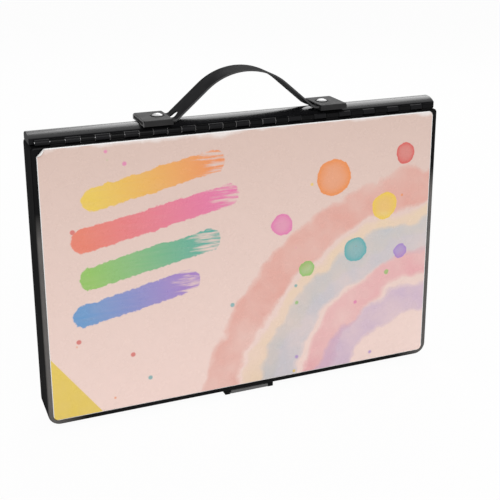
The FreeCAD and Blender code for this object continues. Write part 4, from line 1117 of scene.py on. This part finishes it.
# %% Sleeve, brush handle and clips
def eraser_sleeve():
    finish = Finish("eraser_sleeve")
    x = finish.axes("x")[0]
    low_corner, high_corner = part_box("eraser_sleeve")
    share = (x - low_corner.x) / (high_corner.x - low_corner.x)
    stripes = [(0.0, (0.04, 0.16, 0.44)), (0.34, (0.82, 0.82, 0.80)), (0.66, (0.05, 0.05, 0.06))]
    colour = finish.add("ValToRGB", {"interpolation": "CONSTANT", "stops": stripes}, {0: share})
    fibre = finish.grain(2400.0, 3.0)
    finish.set(Base_Color=finish.mix(fibre * 0.1, colour, (0.8, 0.8, 0.78)), Roughness=0.42 + fibre * 0.2)
    return finish


def brush_wood():
    finish = Finish("brush_wood", IOR=1.5)
    streak = finish.grain(400.0, 3.0, 0.6, (0.08, 1.0, 1.0))
    finish.set(Base_Color=finish.mix(streak, (0.52, 0.03, 0.03), (0.64, 0.06, 0.05)))
    finish.set(Roughness=0.16 + streak * 0.12)
    finish.bump(streak, 0.06, 0.0002)
    return finish


def clip_wood():
    finish = Finish("clip")
    finish.set(Base_Color=wood_colour(finish, (0.66, 0.48, 0.28), (0.50, 0.33, 0.17)))
    finish.set(Roughness=0.55 + finish.grain(500.0) * 0.2)
    finish.bump(finish.grain(700.0, 4.0, 0.6, ALONG_GRAIN), 0.2, 0.0003)
    return finish


dress(eraser_sleeve(), "eraser_sleeve")
dress(brush_wood(), "brush_handle")
dress(clip_wood(), "clip_jaws")

# %% [markdown]
# ## The sponge
# A block of open foam is soft, so it isn't left as a CAD block. A grid of small faces is pushed in where
# a noise is high, which opens pits, and drawn a little towards a ball, so that its corners are soft.

# %% Sponge mesh
SPONGE_CUTS = 26
PIT_DEPTH = 0.0011
PIT_SCALE = 420.0
FINE_PITS = 2.3
SOFT_CORNERS = 0.10


def sponge_mesh(low_corner, high_corner):
    block = bmesh.new()
    bmesh.ops.create_cube(block, size=1.0)
    bmesh.ops.subdivide_edges(block, edges=block.edges[:], cuts=SPONGE_CUTS, use_grid_fill=True)
    block.normal_update()
    middle = (low_corner + high_corner) / 2
    span = high_corner - low_corner
    for vert in block.verts:
        shape = vert.co.copy()
        longest = max(abs(shape.x), abs(shape.y), abs(shape.z))
        shape = shape.lerp(shape.normalized() * longest, SOFT_CORNERS)
        point = Vector((middle[axis] + shape[axis] * span[axis] for axis in range(3)))
        wide = max(0.0, noise.noise(point * PIT_SCALE) - 0.05)
        fine = max(0.0, noise.noise(point * PIT_SCALE * FINE_PITS))
        vert.co = point - vert.normal * min(1.0, (wide + 0.6 * fine) * 2.0) * PIT_DEPTH
    for face in block.faces:
        face.smooth = True
    return as_mesh(block, "foam_sponge")


def sponge_finish():
    finish = Finish("sponge", Subsurface_Weight=0.1, Subsurface_Scale=0.003)
    holes = finish.add("TexVoronoi", {}, {"Vector": finish.place(), "Scale": 900.0})
    tone = finish.grain(300.0, 4.0)
    finish.set(Base_Color=finish.mix(tone, (0.80, 0.56, 0.08), (0.86, 0.68, 0.18)))
    finish.set(Roughness=0.8 + tone * 0.15)
    finish.bump(holes, 0.6, 0.0008)
    return finish


sponge = shown("foam_sponge", sponge_mesh(*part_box("sponge")))
sponge.data.materials.append(sponge_finish().material)
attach(sponge, "front_half")
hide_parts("sponge")
print("sponge faces", len(sponge.data.polygons))

# %% [markdown]
# ## The brush's hair
# Thousands of separate hairs would be too many for so small a tuft, so it is a fluted cone: rings that
# stay full past the ferrule and then close to a point, with ridges round them for the strands.

# %% Hair mesh
HAIR_RINGS = 18
HAIR_SIDES = 72
HAIR_RIDGES = 18
RIDGE_DEPTH = 0.07
HAIR_TWIST = 2.0
HAIR_TAPER = 2.4
HAIR_FILL = 0.96
TIP_RADIUS = 0.0001


def hair_mesh(low_corner, high_corner):
    tuft = bmesh.new()
    centre_y = (low_corner.y + high_corner.y) / 2
    centre_z = (low_corner.z + high_corner.z) / 2
    root = (high_corner.y - low_corner.y) / 2
    rings = []
    for ring in range(HAIR_RINGS):
        share = ring / (HAIR_RINGS - 1)
        radius = root * (1 - share ** HAIR_TAPER) * HAIR_FILL + TIP_RADIUS
        x = low_corner.x + (high_corner.x - low_corner.x) * share
        loop = []
        for side in range(HAIR_SIDES):
            angle = 2 * math.pi * side / HAIR_SIDES
            wave = 0.5 + 0.5 * math.cos(HAIR_RIDGES * angle + HAIR_TWIST * share)
            reach = radius * (1 - RIDGE_DEPTH * wave)
            across = centre_y + reach * math.cos(angle)
            up = centre_z + reach * math.sin(angle)
            loop.append(tuft.verts.new((x, across, up)))
        rings.append(loop)
    for near, far in zip(rings, rings[1:]):
        for side in range(HAIR_SIDES):
            after = (side + 1) % HAIR_SIDES
            tuft.faces.new((near[side], near[after], far[after], far[side])).smooth = True
    tuft.faces.new(rings[0][::-1])
    tuft.faces.new(rings[-1])
    bmesh.ops.recalc_face_normals(tuft, faces=tuft.faces[:])
    return as_mesh(tuft, "brush_hair")


def bristle_finish():
    finish = Finish("bristle")
    strand = finish.grain(1500.0, 3.0, 0.6, (0.05, 1.0, 1.0))
    finish.set(Base_Color=finish.mix(strand, (0.10, 0.05, 0.025), (0.30, 0.18, 0.09)))
    finish.set(Roughness=0.45 + strand * 0.25)
    finish.bump(strand, 0.5, 0.0003)
    return finish


hair = shown("brush_hair", hair_mesh(*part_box("brush_bristles")))
hair.data.materials.append(bristle_finish().material)
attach(hair, "rear_half")
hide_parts("brush_bristles")
print("hair faces", len(hair.data.polygons))

# %% [markdown]
# ## Floor and background
# The photograph's ground is white with hardly a shadow. The floor is a pale sheet that the camera and
# mirror-like rays see mostly as white, through Light Path, while it still takes a little of the shadow.

# %% Floor
FLOOR_SIZE = 6.0
FLOOR_DROP = 0.0002
WHITE_SHARE = 0.96


def pale_floor():
    finish = Finish("pale_floor", Roughness=0.9)
    speck = finish.grain(30.0)
    finish.set(Base_Color=finish.mix(speck, (0.86, 0.86, 0.86), (0.88, 0.88, 0.88)))
    seen = finish.add("LightPath", out=0).at_least(finish.add("LightPath", out=3))
    glow = finish.add("Emission", {}, {"Color": (1.0, 1.0, 1.0), "Strength": 1.0})
    lit = Value(finish, finish.shader.outputs[0])
    both = finish.add("MixShader", {}, {0: seen * WHITE_SHARE, 1: lit, 2: glow})
    finish.feed(finish.tree.nodes["Material Output"].inputs["Surface"], both)
    return finish


floor_mesh = bpy.data.meshes.new("floor")
half_floor = FLOOR_SIZE / 2
sides = ((-1, -1), (1, -1), (1, 1), (-1, 1))
corners = [(x * half_floor, y * half_floor, -FLOOR_DROP) for x, y in sides]
floor_mesh.from_pydata(corners, [], [(0, 1, 2, 3)])
floor = shown("floor", floor_mesh)
floor.data.materials.append(pale_floor().material)
print("floor", FLOOR_SIZE, "m square")

# %% World
AMBIENT = 0.42
world = bpy.data.worlds.new("white_studio")
bpy.context.scene.world = world
world.use_nodes = True
sky = world.node_tree
light_path = sky.nodes.new("ShaderNodeLightPath")
seen = sky.nodes.new("ShaderNodeMath")
seen.operation = "MAXIMUM"
sky.links.new(light_path.outputs["Is Camera Ray"], seen.inputs[0])
sky.links.new(light_path.outputs["Is Glossy Ray"], seen.inputs[1])
clear = sky.nodes.new("ShaderNodeMath")
clear.operation = "MAXIMUM"
sky.links.new(seen.outputs[0], clear.inputs[0])
sky.links.new(light_path.outputs["Is Transmission Ray"], clear.inputs[1])
level = sky.nodes.new("ShaderNodeMapRange")
level.inputs["To Min"].default_value = AMBIENT
level.inputs["To Max"].default_value = 1.0
sky.links.new(clear.outputs[0], level.inputs["Value"])
background = sky.nodes["Background"]
background.inputs["Color"].default_value = (1.0, 1.0, 1.0, 1.0)
sky.links.new(level.outputs["Result"], background.inputs["Strength"])
print("world light", AMBIENT)

# %% [markdown]
# ## Studio lamps
# Two soft area lamps: a large one in front and above for the card, and a weaker one behind and above
# whose reflection runs along the spine. The world's even light fills in the rest.

# %% Lamps
LAMPS = [
    ("front_lamp", (-0.20, -1.45, 1.10), 1.3, 17.5),
    ("spine_lamp", (0.55, 1.00, 1.05), 1.0, 8.0),
]
AIM = Vector((0.0, 0.0, 0.12))
for name, spot, size, power in LAMPS:
    data = bpy.data.lights.new(name, "AREA")
    data.size = size
    data.energy = power
    lamp = shown(name, data)
    lamp.location = spot
    lamp.rotation_euler = (AIM - Vector(spot)).to_track_quat("-Z", "Y").to_euler()
    print(name, power, "W")

# %% [markdown]
# ## Camera
# The photograph looks down at the case a little from its left end. The place, direction and lens were
# found by matching the card's corners, the strap and the latch. The shift only frames the picture.

# %% Camera
CAMERA_SPOT = Vector((-0.2331, -0.6015, 0.3531))
CAMERA_VIEW = Vector((0.3541, 0.8920, -0.2810))
CAMERA_ROLL = math.radians(-0.14)
LENS = 69.77
SENSOR = 36.0
SHIFT = -0.16

lens = bpy.data.cameras.new("camera")
lens.lens = LENS
lens.sensor_width = SENSOR
lens.shift_y = SHIFT
camera = shown("camera", lens)
camera.location = CAMERA_SPOT
aim = CAMERA_VIEW.to_track_quat("-Z", "Y") @ Quaternion((0.0, 0.0, 1.0), CAMERA_ROLL)
camera.rotation_euler = aim.to_euler()
bpy.context.scene.camera = camera
bpy.context.scene.view_settings.view_transform = "Standard"
print("camera at", tuple(round(place, 3) for place in CAMERA_SPOT))
